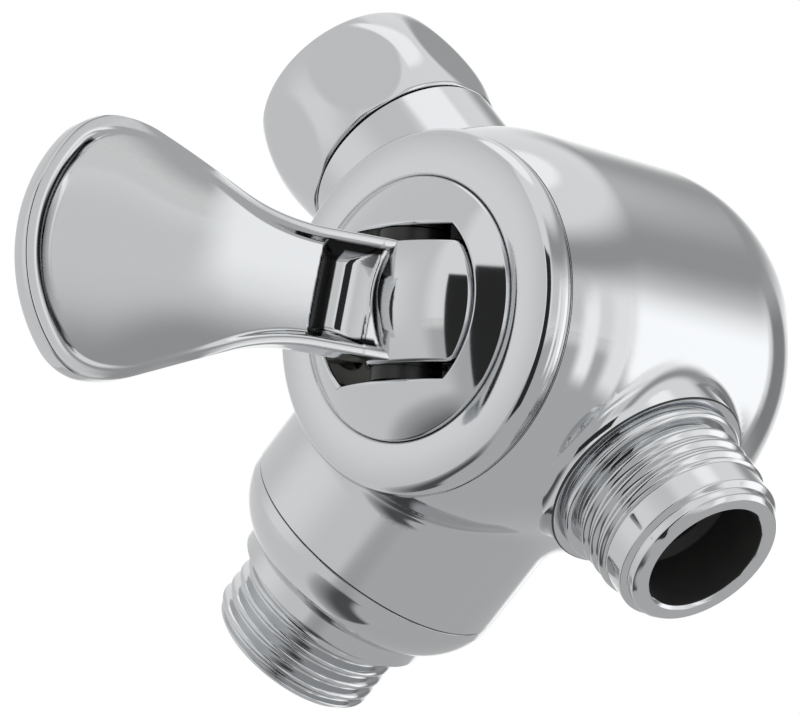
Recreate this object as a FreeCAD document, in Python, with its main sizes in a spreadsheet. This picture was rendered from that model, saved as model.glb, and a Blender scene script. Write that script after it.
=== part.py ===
import FreeCAD, Part
import math
import os
import Sketcher

# Three-way shower diverter: a bullet-shaped body with an inlet nut, a shower outlet and a hose outlet.
# A rocking lever in the domed front slides a ceramic disc over a fixed port disc.
# Millimetres. Plus Z is up and minus Y is the lever side.
# The origin is the outer end of the inlet nut's thread.

Vector = FreeCAD.Vector
Rotation = FreeCAD.Rotation
Placement = FreeCAD.Placement

doc = FreeCAD.newDocument("shower_diverter_valve")
sheet = doc.addObject("Spreadsheet::Sheet", "Sizes")

# Driving dimensions. Lengths along the lever axis are measured forward from the inlet axis,
# and lengths along a port are measured outward from the lever axis.
sizes = {
    # Valve body
    "body_radius": 22.9,
    "body_dome_start": -11.0,
    "body_dome_depth": 19.2,
    "body_dome_side_curve": 17.5,
    "body_shoulder": 9.5,
    "body_shoulder_radius": 19.0,
    "seam_place": 18.7,
    "seam_radius": 20.5,
    "chamber_radius": 15.4,
    "chamber_floor": 5.0,
    "bonnet_bore_radius": 18.0,
    "bonnet_bore_floor": 10.5,
    "passage_radius": 3.6,
    "passage_start": 5.0,
    "port_radius": 2.3,
    "port_spread": 4.95,
    "barrel_radius": 16.6,
    "barrel_end": 30.7,
    "barrel_offset": 1.9,
    "barrel_socket_radius": 12.0,
    "barrel_socket_floor": 20.0,
    "hose_boss_radius": 12.2,
    "hose_boss_end": 23.8,
    "hose_socket_radius": 8.5,
    "hose_socket_floor": 17.0,
    "neck_radius": 12.0,
    "neck_end": 32.0,
    "neck_socket_radius": 8.0,
    "neck_socket_floor": 24.0,
    # Bonnet ring and domed cover
    "bonnet_skirt_radius": 17.9,
    "bonnet_skirt_end": 12.1,
    "bonnet_bore": 15.55,
    "bonnet_edge_place": 22.2,
    "bonnet_edge_radius": 19.7,
    "bonnet_side_curve": 2.6,
    "bonnet_face_curve": 14.0,
    "bonnet_lip_place": 22.95,
    "bonnet_lip_radius": 15.0,
    "bonnet_lip_seat": 21.4,
    "cover_foot": 16.4,
    "cover_flange_radius": 15.5,
    "cover_flange_top": 21.4,
    "cover_rim_radius": 14.8,
    "cover_rim_top": 23.06,
    "cover_dome_radius": 23.1,
    "cover_dome_top": 28.43,
    "slot_radius": 11.5,
    "slot_half": 8.6,
    "slot_edge": 0.45,
    # Port gasket, port disc, sliding disc and their guide
    "gasket_thick": 1.2,
    "disc_radius": 15.2,
    "disc_thick": 3.0,
    "guide_radius": 15.3,
    "guide_height": 7.2,
    "guide_half_length": 11.6,
    "guide_half_width": 8.75,
    "slide_half": 8.6,
    "slide_thick": 2.98,
    "slide_gap": 0.02,
    "channel_depth": 1.6,
    "channel_half": 5.0,
    "channel_stem_half": 3.0,
    "carrier_half_length": 5.5,
    "carrier_half_width": 8.4,
    "carrier_height": 3.3,
    "carrier_socket_radius": 2.15,
    "key_radius": 1.0,
    "key_place": 11.5,
    "key_start": 3.0,
    "key_length": 4.6,
    # Lever, its pin and its drive stem
    "pivot_place": 22.5,
    "lever_tilt": 20.0,
    "pin_radius": 1.5,
    "pin_half": 14.4,
    "hub_radius": 6.0,
    "hub_half": 6.9,
    "hub_flat": 5.4,
    "hub_bore_radius": 1.55,
    "hub_edge": 1.1,
    "crown_place": 11.6,
    "crown_radius": 17.0,
    "crown_reach": 10.5,
    "crown_back": 23.2,
    "crown_front": 32.0,
    "crown_start": 1.7,
    "washer_radius": 4.0,
    "washer_start": 7.0,
    "washer_thick": 1.5,
    "lever_length": 47.9,
    "lever_rise": 1.9,
    "lever_neck_half": 6.75,
    "lever_flare_start": 12.6,
    "lever_flare_angle": 23.0,
    "lever_flare_curve": 25.7,
    "lever_cheek_x": 33.6,
    "lever_cheek_curve": 12.4,
    "lever_end_curve": 19.2,
    "lever_blank_half": 17.0,
    "lever_root_face": 3.3,
    "lever_end_face": 2.0,
    "lever_root_back": 3.0,
    "lever_end_back": 1.7,
    "pan_rim": 2.1,
    "pan_root": 13.2,
    "pan_floor": 1.0,
    "rim_round": 0.8,
    "scoop_place": 10.2,
    "scoop_lift": 4.6,
    "scoop_radius": 3.6,
    "scoop_half_width": 4.65,
    "stem_radius": 1.6,
    "stem_start": 2.3,
    "stem_length": 8.0,
    "ball_radius": 2.0,
    # Shower outlet nipple
    "shower_shank_radius": 11.95,
    "shower_shank_end": 21.6,
    "shower_bore_radius": 7.5,
    "shower_collar_radius": 16.5,
    "shower_collar_end": 32.0,
    "shower_shoulder_curve": 8.5,
    "shower_shoulder_end": 37.3,
    "shower_shoulder_radius": 12.9,
    "shower_ring_radius": 12.1,
    "shower_ring_start": 37.8,
    "shower_ring_end": 40.0,
    "shower_undercut_radius": 9.5,
    "shower_thread_start": 41.0,
    "shower_end": 49.0,
    "thread_radius": 10.48,
    "thread_chamfer": 0.95,
    # Hose outlet nipple
    "hose_shank_end": 18.6,
    "hose_shank_radius": 8.45,
    "hose_waist_radius": 6.0,
    "hose_root_radius": 10.3,
    "hose_root_end": 24.25,
    "hose_flange_radius": 11.2,
    "hose_flange_end": 25.4,
    "hose_groove_radius": 9.6,
    "hose_thread_start": 26.6,
    "hose_thread_end": 33.8,
    "hose_lip_radius": 9.2,
    "hose_end": 36.9,
    "hose_bore_radius": 7.1,
    "hose_bore_floor": 29.5,
    # Inlet tailpiece, nut, washer and screen
    "tail_shank_end": 25.6,
    "tail_bore_radius": 4.6,
    "tail_flange_start": 35.05,
    "tail_flange_radius": 9.2,
    "tail_flange_end": 37.0,
    "tail_key_flats": 10.0,
    "tail_key_depth": 4.0,
    "nut_start": 32.2,
    "nut_lip_end": 34.85,
    "nut_relief_end": 39.9,
    "nut_relief_radius": 9.95,
    "nut_thread_end": 45.9,
    "nut_mouth": 46.4,
    "nut_flats": 24.3,
    "nut_turned_radius": 13.3,
    "nut_end_radius": 11.5,
    "nut_cone": 2.6,
    "nut_lip_radius": 8.08,
    "nut_thread_radius": 9.5,
    "nut_mouth_radius": 10.0,
    "nut_turn": 6.0,
    "inlet_washer_inner": 5.4,
    "inlet_washer_outer": 9.1,
    "inlet_washer_thick": 2.6,
    "screen_thick": 0.8,
    "screen_hole_radius": 0.6,
    "screen_ring_radius": 2.2,
    "screen_outer_ring_radius": 4.0,
    # Sealing rings
    "seal_section": 0.8,
    "bonnet_seal_radius": 16.8,
    "shower_seal_radius": 10.6,
    "hose_seal_radius": 7.2,
    "tail_seal_radius": 6.4,
}
for row, (alias, number) in enumerate(sizes.items(), start=1):
    sheet.set("A%d" % row, alias)
    sheet.set("B%d" % row, str(number))
    sheet.setAlias("B%d" % row, alias)
doc.recompute()

inlet_angle = 135.0
shower_angle = 225.0
hose_angle = 315.0


def value(spec):
    """The number behind an alias, an alias with a step added, or a plain number."""
    if isinstance(spec, tuple):
        return sizes[spec[0].lstrip("-")] * (-1.0 if spec[0].startswith("-") else 1.0) + spec[1]
    if isinstance(spec, str):
        return value((spec, 0.0))
    return float(spec)


def formula(spec):
    """The same as an expression of the sheet."""
    alias, step = spec if isinstance(spec, tuple) else (spec, 0.0)
    sign = "-" if alias.startswith("-") else ""
    return "%sSizes.%s + %r" % (sign, alias.lstrip("-"), step)


# Frames. The axial frame has Z forward along the lever axis and Y up.
turn_forward = Rotation(Vector(1, 0, 0), 90)
inlet_direction = Vector(-math.sqrt(0.5), 0, math.sqrt(0.5))
valve_centre = inlet_direction * (-sizes["nut_thread_end"])
axial = Placement(valve_centre, turn_forward)


def port_frame(angle, forward=0.0):
    """A frame with Z outward along the port at this angle, moved forward along the lever axis."""
    outward = Placement(Vector(0, 0, forward), Rotation(Vector(0, 0, 1), angle))
    return axial.multiply(outward).multiply(Placement(Vector(), Rotation(Vector(0, 1, 0), 90)))


inlet_frame = port_frame(inlet_angle)
shower_frame = port_frame(shower_angle, sizes["barrel_offset"])
shower_passage_frame = port_frame(shower_angle)
hose_frame = port_frame(hose_angle)
pivot_point = valve_centre + Vector(0, -sizes["pivot_place"], 0)
lever_frame = Placement(pivot_point, Rotation(Vector(0, 0, 1), 270.0 - sizes["lever_tilt"]))
slide_travel = sizes["stem_length"] * math.sin(math.radians(sizes["lever_tilt"]))
slide_frame = Placement(valve_centre + Vector(slide_travel, 0, 0), turn_forward)


def bind(feature, prop, spec):
    feature.setExpression(prop, formula(spec))


def origin_plane(body, role):
    for plane in body.Origin.OriginFeatures:
        if plane.Role == role:
            return plane
    raise ValueError(role)


def new_body(label, frame):
    body = doc.addObject("PartDesign::Body", label)
    body.Label = label
    body.Placement = frame
    return body


def new_sketch(body, name, role, offset=0.0):
    sketch = body.newObject("Sketcher::SketchObject", name)
    sketch.AttachmentSupport = [(origin_plane(body, role), "")]
    sketch.MapMode = "FlatFace"
    sketch.AttachmentOffset = Placement(Vector(0, 0, offset), Rotation())
    return sketch


def pin_point(sketch, edge, end, spec, axis):
    """Holds one end of an edge at its distance from the sketch origin."""
    number = value(spec)
    if abs(number) < 1e-9:
        sketch.addConstraint(Sketcher.Constraint("PointOnObject", edge, end, -2 if axis == "X" else -1))
        return
    first, second = ((-1, 1), (edge, end)) if number > 0 else ((edge, end), (-1, 1))
    index = sketch.addConstraint(Sketcher.Constraint("Distance" + axis, *first, *second, abs(number)))
    if isinstance(spec, (str, tuple)):
        text = formula(spec)
        sketch.setExpression("Constraints[%d]" % index, text if number > 0 else "-(%s)" % text)


def arc_between(start, finish, radius):
    """The short arc of this radius; a positive radius turns left on the way."""
    chord = finish - start
    left = Vector(-chord.y, chord.x, 0).normalize()
    rise = math.sqrt(radius * radius - chord.Length ** 2 / 4.0)
    centre = (start + finish) * 0.5 + left * (rise if radius > 0 else -rise)
    ends = (start, finish) if radius > 0 else (finish, start)
    angles = [math.atan2(p.y - centre.y, p.x - centre.x) for p in ends]
    return Part.ArcOfCircle(Part.Circle(centre, Vector(0, 0, 1), abs(radius)), angles[0], angles[1])


def draw(sketch, points):
    """A closed outline. Each point is (x, y) or (x, y, radius of the arc that leads to it)."""
    count = len(points)
    spots = [Vector(value(p[0]), value(p[1]), 0) for p in points]
    ends = []
    for i in range(count):
        start = spots[i]
        finish = spots[(i + 1) % count]
        goal = points[(i + 1) % count]
        if len(goal) == 3:
            edge = sketch.addGeometry(arc_between(start, finish, value(goal[2])), False)
            index = sketch.addConstraint(Sketcher.Constraint("Radius", edge, abs(value(goal[2]))))
            if not isinstance(goal[2], float):
                sketch.setExpression("Constraints[%d]" % index, "abs(%s)" % formula(goal[2]))
            ends.append((edge, 1, 2) if value(goal[2]) > 0 else (edge, 2, 1))
        else:
            edge = sketch.addGeometry(Part.LineSegment(start, finish), False)
            ends.append((edge, 1, 2))
    for i in range(count):
        edge, begin, stop = ends[i]
        nearby = ends[(i + 1) % count]
        sketch.addConstraint(Sketcher.Constraint("Coincident", edge, stop, nearby[0], nearby[1]))
        pin_point(sketch, edge, begin, points[i][0], "X")
        pin_point(sketch, edge, begin, points[i][1], "Y")


def draw_circle(sketch, x, y, radius):
    """A circle held at its place and radius."""
    circle = Part.Circle(Vector(value(x), value(y), 0), Vector(0, 0, 1), value(radius))
    edge = sketch.addGeometry(circle, False)
    index = sketch.addConstraint(Sketcher.Constraint("Radius", edge, value(radius)))
    sketch.setExpression("Constraints[%d]" % index, formula(radius))
    pin_point(sketch, edge, 3, x, "X")
    pin_point(sketch, edge, 3, y, "Y")


def turned(label, frame, points):
    """A turned piece: an outline of (radius, length) spun about the frame's Z axis."""
    body = new_body(label, frame)
    sketch = new_sketch(body, label + "_profile", "XZ_Plane")
    draw(sketch, points)
    spin = body.newObject("PartDesign::Revolution", label + "_turning")
    spin.Profile = sketch
    spin.ReferenceAxis = (sketch, ["V_Axis"])
    spin.Angle = 360.0
    sketch.Visibility = False
    body.Tip = spin
    return body


def padded(body, sketch, length, both_ways=False, backward=False):
    pad = body.newObject("PartDesign::Pad", sketch.Name + "_pad")
    pad.Profile = sketch
    pad.setExpression("Length", length)
    pad.Midplane = both_ways
    pad.Reversed = backward
    body.Tip = pad
    return pad


def pocketed(body, sketch, length, backward=False, both_ways=False):
    pocket = body.newObject("PartDesign::Pocket", sketch.Name + "_cut")
    pocket.Profile = sketch
    pocket.setExpression("Length", length)
    pocket.Reversed = backward
    pocket.Midplane = both_ways
    body.Tip = pocket
    return pocket


def cylinder(name, frame, radius, start, finish):
    """A plain cylinder along the frame's Z axis between two lengths."""
    piece = doc.addObject("Part::Cylinder", name)
    bind(piece, "Radius", radius)
    piece.setExpression("Height", "(%s) - (%s)" % (formula(finish), formula(start)))
    piece.Placement = frame.multiply(Placement(Vector(0, 0, value(start)), Rotation()))
    return piece


def fused(name, pieces):
    joined = doc.addObject("Part::MultiFuse", name)
    joined.Shapes = pieces
    return joined


def cut(label, base, tool):
    result = doc.addObject("Part::Cut", label)
    result.Label = label
    result.Base = base
    result.Tool = tool
    return result


def sealing_ring(label, frame, radius, place):
    """A round-section rubber ring whose middle lies at this length along the frame."""
    ring = doc.addObject("Part::Torus", label)
    ring.Label = label
    bind(ring, "Radius1", radius)
    bind(ring, "Radius2", "seal_section")
    ring.Placement = frame.multiply(Placement(Vector(0, 0, value(place)), Rotation()))
    return ring


def spread_frame(frame, x, y):
    return frame.multiply(Placement(Vector(x, y, 0), Rotation()))


pieces = []

# Valve body: a bullet with a domed back, a barrel, a boss and a neck at right angles, and drilled ways
# The dome is an oval of two tangent arcs: a flatter one round the middle and a tighter one at the side.
dome_depth = sizes["body_dome_depth"]
side_curve = sizes["body_dome_side_curve"]
side_reach = sizes["body_radius"] - side_curve
middle_rise = (side_reach ** 2 - (dome_depth - side_curve) ** 2) / (2.0 * (dome_depth - side_curve))
middle_curve = dome_depth + middle_rise
middle_share = middle_curve / (middle_curve - side_curve)
meeting = (side_reach * middle_share, middle_rise * (middle_share - 1.0))
shell = turned("body_shell", axial, [
    (0.0, "seam_place"),
    (0.0, ("body_dome_start", -dome_depth)),
    (meeting[0], ("body_dome_start", -meeting[1]), middle_curve),
    ("body_radius", "body_dome_start", "body_dome_side_curve"),
    ("body_radius", "body_shoulder"),
    ("seam_radius", "seam_place", "body_shoulder_radius"),
])
axle_line = ("seam_place", -sizes["seam_place"])
outside = fused("body_outside", [
    shell,
    cylinder("barrel", shower_frame, "barrel_radius", axle_line, "barrel_end"),
    cylinder("hose_boss", hose_frame, "hose_boss_radius", axle_line, "hose_boss_end"),
    cylinder("neck", inlet_frame, "neck_radius", axle_line, "neck_end"),
])
spread = sizes["port_spread"]
ports = {"inlet": (-spread, spread), "shower": (-spread, -spread), "hose": (spread, -spread)}
ways = [
    cylinder("bonnet_bore", axial, "bonnet_bore_radius", "bonnet_bore_floor", ("seam_place", 2.0)),
    cylinder("chamber", axial, "chamber_radius", "chamber_floor", "seam_place"),
    cylinder("inlet_way", inlet_frame, "passage_radius", "passage_start", "neck_end"),
    cylinder("inlet_socket", inlet_frame, "neck_socket_radius", "neck_socket_floor", ("neck_end", 2.0)),
    cylinder("shower_way", shower_passage_frame, "passage_radius", "passage_start", "barrel_end"),
    cylinder("shower_socket", shower_frame, "barrel_socket_radius", "barrel_socket_floor",
             ("barrel_end", 2.0)),
    cylinder("hose_way", hose_frame, "passage_radius", "passage_start", "hose_boss_end"),
    cylinder("hose_socket", hose_frame, "hose_socket_radius", "hose_socket_floor", ("hose_boss_end", 2.0)),
]
for name, (x, y) in ports.items():
    ways.append(cylinder(name + "_drop", spread_frame(axial, x, y), "port_radius", axle_line, "seam_place"))
for name, side in (("left", -1), ("right", 1)):
    spot = spread_frame(axial, side * sizes["key_place"], 0)
    ways.append(cylinder(name + "_key_hole", spot, "key_radius", "key_start", "seam_place"))
pieces.append(cut("valve_body", outside, fused("body_ways", ways)))

# Bonnet ring: a threaded skirt inside the body and a rounded rim that holds the cover down
pieces.append(turned("bonnet_ring", axial, [
    ("bonnet_bore", "bonnet_skirt_end"),
    ("bonnet_skirt_radius", "bonnet_skirt_end"),
    ("bonnet_skirt_radius", "seam_place"),
    ("seam_radius", "seam_place"),
    ("bonnet_edge_radius", "bonnet_edge_place", "bonnet_side_curve"),
    ("bonnet_lip_radius", "bonnet_lip_place", "bonnet_face_curve"),
    ("bonnet_lip_radius", "bonnet_lip_seat"),
    ("bonnet_bore", "bonnet_lip_seat"),
]))
bonnet_seal_place = ("bonnet_bore_floor", sizes["seal_section"])
pieces.append(sealing_ring("bonnet_seal", axial, "bonnet_seal_radius", bonnet_seal_place))

# Domed cover: a flange under the ring's lip, a double-D slot for the lever and a cross hole for its pin
cover = turned("domed_cover", axial, [
    (0.0, "cover_foot"),
    ("cover_flange_radius", "cover_foot"),
    ("cover_flange_radius", "cover_flange_top"),
    ("cover_rim_radius", "cover_flange_top"),
    ("cover_rim_radius", "cover_rim_top"),
    (0.0, "cover_dome_top", "cover_dome_radius"),
])
slot_side = math.sqrt(sizes["slot_radius"] ** 2 - sizes["slot_half"] ** 2)
slot = new_sketch(cover, "lever_slot", "XY_Plane")
draw(slot, [
    (slot_side, "-slot_half"),
    (slot_side, "slot_half", "slot_radius"),
    (-slot_side, "slot_half"),
    (-slot_side, "-slot_half", "slot_radius"),
])
pocketed(cover, slot, "Sizes.cover_dome_top + 2", backward=True)
pin_hole = new_sketch(cover, "pin_hole", "XZ_Plane")
draw_circle(pin_hole, 0.0, "pivot_place", "pin_radius")
pocketed(cover, pin_hole, "2 * Sizes.cover_flange_radius + 2", both_ways=True)
doc.recompute()
slot_cut = cover.Tip
edge_names = []
for number, edge in enumerate(slot_cut.Shape.Edges, start=1):
    middle = edge.CenterOfMass
    reach = math.hypot(middle.x, middle.y)
    if middle.z > sizes["bonnet_lip_place"] and reach < sizes["slot_radius"] + 0.1:
        edge_names.append("Edge%d" % number)
slot_edge = cover.newObject("PartDesign::Chamfer", "slot_edge")
slot_edge.Base = (slot_cut, edge_names)
slot_edge.setExpression("Size", "Sizes.slot_edge")
cover.Tip = slot_edge
pieces.append(cover)

# Gasket, fixed port disc and its two keys
gasket = new_body("port_gasket", axial)
sheet_outline = new_sketch(gasket, "gasket_outline", "XY_Plane", sizes["chamber_floor"])
draw_circle(sheet_outline, 0.0, 0.0, "disc_radius")
for x, y in ports.values():
    draw_circle(sheet_outline, x, y, ("port_radius", 0.2))
for side in (-1, 1):
    draw_circle(sheet_outline, side * sizes["key_place"], 0.0, "key_radius")
padded(gasket, sheet_outline, "Sizes.gasket_thick")
pieces.append(gasket)

disc_back = sizes["chamber_floor"] + sizes["gasket_thick"]
disc_face = disc_back + sizes["disc_thick"]
disc = new_body("port_disc", axial)
disc_outline = new_sketch(disc, "disc_outline", "XY_Plane", disc_back)
draw_circle(disc_outline, 0.0, 0.0, "disc_radius")
for name in ("shower", "hose"):
    draw_circle(disc_outline, ports[name][0], ports[name][1], "port_radius")
draw(disc_outline, [
    (0.0, ("port_spread", -sizes["port_radius"])),
    (0.0, ("port_spread", sizes["port_radius"]), ("port_radius", 1e-6)),
    ("-port_spread", ("port_spread", sizes["port_radius"])),
    ("-port_spread", ("port_spread", -sizes["port_radius"]), ("port_radius", 1e-6)),
])
padded(disc, disc_outline, "Sizes.disc_thick")
key_seats = new_sketch(disc, "key_seats", "XY_Plane", disc_back)
for side in (-1, 1):
    draw_circle(key_seats, side * sizes["key_place"], 0.0, "key_radius")
key_depth = "Sizes.key_start + Sizes.key_length - Sizes.chamber_floor - Sizes.gasket_thick"
pocketed(disc, key_seats, key_depth, backward=True)
pieces.append(disc)

keys = []
for name, side in (("left", -1), ("right", 1)):
    spot = spread_frame(axial, side * sizes["key_place"], 0)
    keys.append(cylinder(name + "_key", spot, "key_radius", "key_start", ("key_start", sizes["key_length"])))
locating_pins = doc.addObject("Part::Compound", "locating_pins")
locating_pins.Label = "locating_pins"
locating_pins.Links = keys
pieces.append(locating_pins)

# Slide guide: a moulded ring with a window that the sliding disc runs in
guide = new_body("slide_guide", axial)
guide_outline = new_sketch(guide, "guide_outline", "XY_Plane", disc_face)
draw_circle(guide_outline, 0.0, 0.0, "guide_radius")
draw(guide_outline, [
    ("-guide_half_length", "-guide_half_width"),
    ("guide_half_length", "-guide_half_width"),
    ("guide_half_length", "guide_half_width"),
    ("-guide_half_length", "guide_half_width"),
])
padded(guide, guide_outline, "Sizes.guide_height")
pieces.append(guide)

# Sliding disc with the channel that joins the inlet to one outlet or both
slide = new_body("slide_disc", slide_frame)
slide_back = disc_face + sizes["slide_gap"]
slide_outline = new_sketch(slide, "slide_outline", "XY_Plane", slide_back)
draw(slide_outline, [
    ("-slide_half", "-slide_half"),
    ("slide_half", "-slide_half"),
    ("slide_half", "slide_half"),
    ("-slide_half", "slide_half"),
])
padded(slide, slide_outline, "Sizes.slide_thick")
channel = new_sketch(slide, "channel", "XY_Plane", slide_back)
low = ("-port_spread", -sizes["port_radius"])
bar_top = ("-port_spread", sizes["port_radius"])
high = ("port_spread", sizes["port_radius"])
draw(channel, [
    ("-channel_half", low),
    ("channel_half", low),
    ("channel_half", bar_top),
    ("channel_stem_half", bar_top),
    ("channel_stem_half", high),
    ("-channel_stem_half", high),
    ("-channel_stem_half", bar_top),
    ("-channel_half", bar_top),
])
pocketed(slide, channel, "Sizes.channel_depth", backward=True)
pieces.append(slide)

# Carrier: the moulded block on the sliding disc that the drive stem's ball moves
carrier = new_body("slide_carrier", slide_frame)
carrier_outline = new_sketch(carrier, "carrier_outline", "XY_Plane", slide_back + sizes["slide_thick"])
draw(carrier_outline, [
    ("-carrier_half_length", "-carrier_half_width"),
    ("carrier_half_length", "-carrier_half_width"),
    ("carrier_half_length", "carrier_half_width"),
    ("-carrier_half_length", "carrier_half_width"),
])
draw_circle(carrier_outline, 0.0, 0.0, "carrier_socket_radius")
padded(carrier, carrier_outline, "Sizes.carrier_height")
pieces.append(carrier)

# Pivot pin and the two washers between the hub and the slot's flats
upright = Placement(pivot_point, Rotation())
pin = cylinder("pivot_pin", upright, "pin_radius", "-pin_half", "pin_half")
pin.Label = "pivot_pin"
pieces.append(pin)
for label, side in (("upper_hub_washer", 0.0), ("lower_hub_washer", 180.0)):
    flip = Placement(pivot_point, Rotation(Vector(1, 0, 0), side))
    pieces.append(turned(label, flip, [
        ("pin_radius", "washer_start"),
        ("washer_radius", "washer_start"),
        ("washer_radius", ("washer_start", sizes["washer_thick"])),
        ("pin_radius", ("washer_start", sizes["washer_thick"])),
    ]))


def lever_outline(root, inset):
    """The paddle's plan, with tangent arcs throughout, drawn in by the inset from the edge."""
    angle = math.radians(sizes["lever_flare_angle"])
    flare = sizes["lever_flare_curve"]
    cheek = sizes["lever_cheek_curve"]
    end = sizes["lever_end_curve"]
    neck = sizes["lever_neck_half"]
    flare_x = sizes["lever_flare_start"]
    flare_centre = Vector(flare_x, neck + flare, 0)
    along = Vector(math.cos(angle), math.sin(angle), 0)
    across = Vector(-math.sin(angle), math.cos(angle), 0)
    flare_end = flare_centre - across * flare
    cheek_start = flare_end + along * ((sizes["lever_cheek_x"] - flare_end.x) / along.x)
    cheek_centre = cheek_start - across * cheek
    end_centre = Vector(sizes["lever_length"] - end, 0, 0)
    # The corner arc touches the cheek's highest point and the end arc from inside.
    top = cheek_centre.y + cheek
    step = cheek_centre.x - end_centre.x
    corner = (end ** 2 - step ** 2 - top ** 2) / (2.0 * (end - top))
    corner_centre = Vector(cheek_centre.x, top - corner, 0)
    outward = (corner_centre - end_centre).normalize()
    marks = [
        (Vector(root, neck - inset, 0), None),
        (Vector(flare_x, neck - inset, 0), None),
        (flare_centre - across * (flare + inset), flare + inset),
        (cheek_centre + across * (cheek - inset), None),
        (cheek_centre + Vector(0, cheek - inset, 0), inset - cheek),
        (end_centre + outward * (end - inset), inset - corner),
        (end_centre + Vector(end - inset, 0, 0), inset - end),
    ]
    half = [(spot.x, spot.y) if radius is None else (spot.x, spot.y, radius) for spot, radius in marks]
    other = []
    for before, after in reversed(list(zip(half[:-1], half[1:]))):
        other.append((before[0], -before[1]) + after[2:])
    # The whole plan rises a little from the hub to the tip.
    rise = math.radians(sizes["lever_rise"])
    level = (math.cos(rise), math.sin(rise))
    tilted = []
    for spot in half + other:
        x = spot[0] * level[0] - spot[1] * level[1]
        z = spot[0] * level[1] + spot[1] * level[0]
        tilted.append((x, z) + spot[2:])
    return tilted


# Lever: a paddle with a raised rim round a hollowed face, on a hub that turns about the pin
lever = new_body("lever_blade", lever_frame)
side_view = new_sketch(lever, "lever_side", "XY_Plane")
draw(side_view, [
    (0.0, "-lever_root_back"),
    (("lever_length", 1.0), "-lever_end_back"),
    (("lever_length", 1.0), "lever_end_face"),
    (0.0, "lever_root_face"),
])
padded(lever, side_view, "2 * Sizes.lever_blank_half", both_ways=True)
plan = new_sketch(lever, "lever_plan", "XZ_Plane")
draw(plan, lever_outline(0.0, 0.0))
around = ("lever_length", 3.0)
draw(plan, [
    (-3.0, ("-lever_blank_half", -3.0)),
    (around, ("-lever_blank_half", -3.0)),
    (around, ("lever_blank_half", 3.0)),
    (-3.0, ("lever_blank_half", 3.0)),
])
pocketed(lever, plan, "20", both_ways=True)
doc.recompute()
rim_names = []
blade = lever.Tip
for number, edge in enumerate(blade.Shape.Edges, start=1):
    middle = edge.CenterOfMass
    along_plan = abs(edge.Vertexes[0].Point.y - edge.Vertexes[-1].Point.y) < 1.2
    if middle.x > 4.0 and along_plan:
        rim_names.append("Edge%d" % number)
rim_round = lever.newObject("PartDesign::Fillet", "rim_round")
rim_round.Base = (blade, rim_names)
rim_round.setExpression("Radius", "Sizes.rim_round")
lever.Tip = rim_round
pan = new_sketch(lever, "lever_pan", "XZ_Plane")
draw(pan, lever_outline(sizes["pan_root"], sizes["pan_rim"]))
pan.AttachmentOffset = Placement(Vector(0, 0, -sizes["pan_floor"]), Rotation())
pocketed(lever, pan, "5", backward=False)
scoop = new_sketch(lever, "lever_scoop", "XY_Plane")
draw_circle(scoop, "scoop_place", "scoop_lift", "scoop_radius")
pocketed(lever, scoop, "2 * Sizes.scoop_half_width", both_ways=True)
hub = new_sketch(lever, "hub_outline", "XZ_Plane")
draw(hub, [
    (0.0, "-hub_half"),
    (("hub_radius", -sizes["hub_edge"]), "-hub_half"),
    ("hub_radius", ("-hub_half", sizes["hub_edge"]), "hub_edge"),
    ("hub_radius", ("hub_half", -sizes["hub_edge"])),
    (("hub_radius", -sizes["hub_edge"]), "hub_half", "hub_edge"),
    (0.0, "hub_half"),
])
hub_turning = lever.newObject("PartDesign::Revolution", "hub_turning")
hub_turning.Profile = hub
hub_turning.ReferenceAxis = (hub, ["V_Axis"])
hub_turning.Angle = 360.0
lever.Tip = hub_turning
hub_back = new_sketch(lever, "hub_back", "XY_Plane")
draw(hub_back, [
    (("-hub_radius", -1.0), ("-hub_radius", -1.0)),
    ("-hub_flat", ("-hub_radius", -1.0)),
    ("-hub_flat", ("hub_radius", 1.0)),
    (("-hub_radius", -1.0), ("hub_radius", 1.0)),
])
pocketed(lever, hub_back, "2 * Sizes.hub_half + 2", both_ways=True)
bore = new_sketch(lever, "hub_bore", "XY_Plane")
draw_circle(bore, 0.0, 0.0, "hub_bore_radius")
pocketed(lever, bore, "2 * Sizes.hub_half + 2", both_ways=True)
seat = new_sketch(lever, "stem_seat", "YZ_Plane", -sizes["stem_start"])
draw_circle(seat, 0.0, 0.0, "stem_radius")
pocketed(lever, seat, "Sizes.stem_length", backward=False)
# The hub's crown fills the slot's right side, ends within its arc and curves about a line behind the pin.
crown_axis = Placement(valve_centre + Vector(0, -sizes["crown_place"], 0), Rotation())
crown_block = doc.addObject("Part::Box", "crown_block")
bind(crown_block, "Length", "crown_front")
bind(crown_block, "Width", "crown_front")
bind(crown_block, "Height", "crown_front")
crown_corner = Vector(sizes["crown_start"], -sizes["crown_front"], -sizes["crown_front"] / 2.0)
crown_block.Placement = Placement(valve_centre + crown_corner, Rotation())
crown = doc.addObject("Part::MultiCommon", "hub_crown")
crown.Shapes = [
    cylinder("crown_turning", crown_axis, "crown_radius", "-hub_half", "hub_half"),
    cylinder("crown_round", axial, "crown_reach", "crown_back", "crown_front"),
    crown_block,
]
handle = fused("lever_handle", [lever, crown])
handle.Label = "lever_handle"
pieces.append(handle)

# Drive stem: a pin pressed into the hub's back, with the ball that moves the carrier
inward = lever_frame.multiply(Placement(Vector(), Rotation(Vector(0, 1, 0), -90)))
ball = doc.addObject("Part::Sphere", "drive_ball")
bind(ball, "Radius", "ball_radius")
ball.Placement = inward.multiply(Placement(Vector(0, 0, sizes["stem_length"]), Rotation()))
stem = fused("drive_stem", [cylinder("stem_rod", inward, "stem_radius", "stem_start", "stem_length"), ball])
stem.Label = "drive_stem"
pieces.append(stem)

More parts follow.
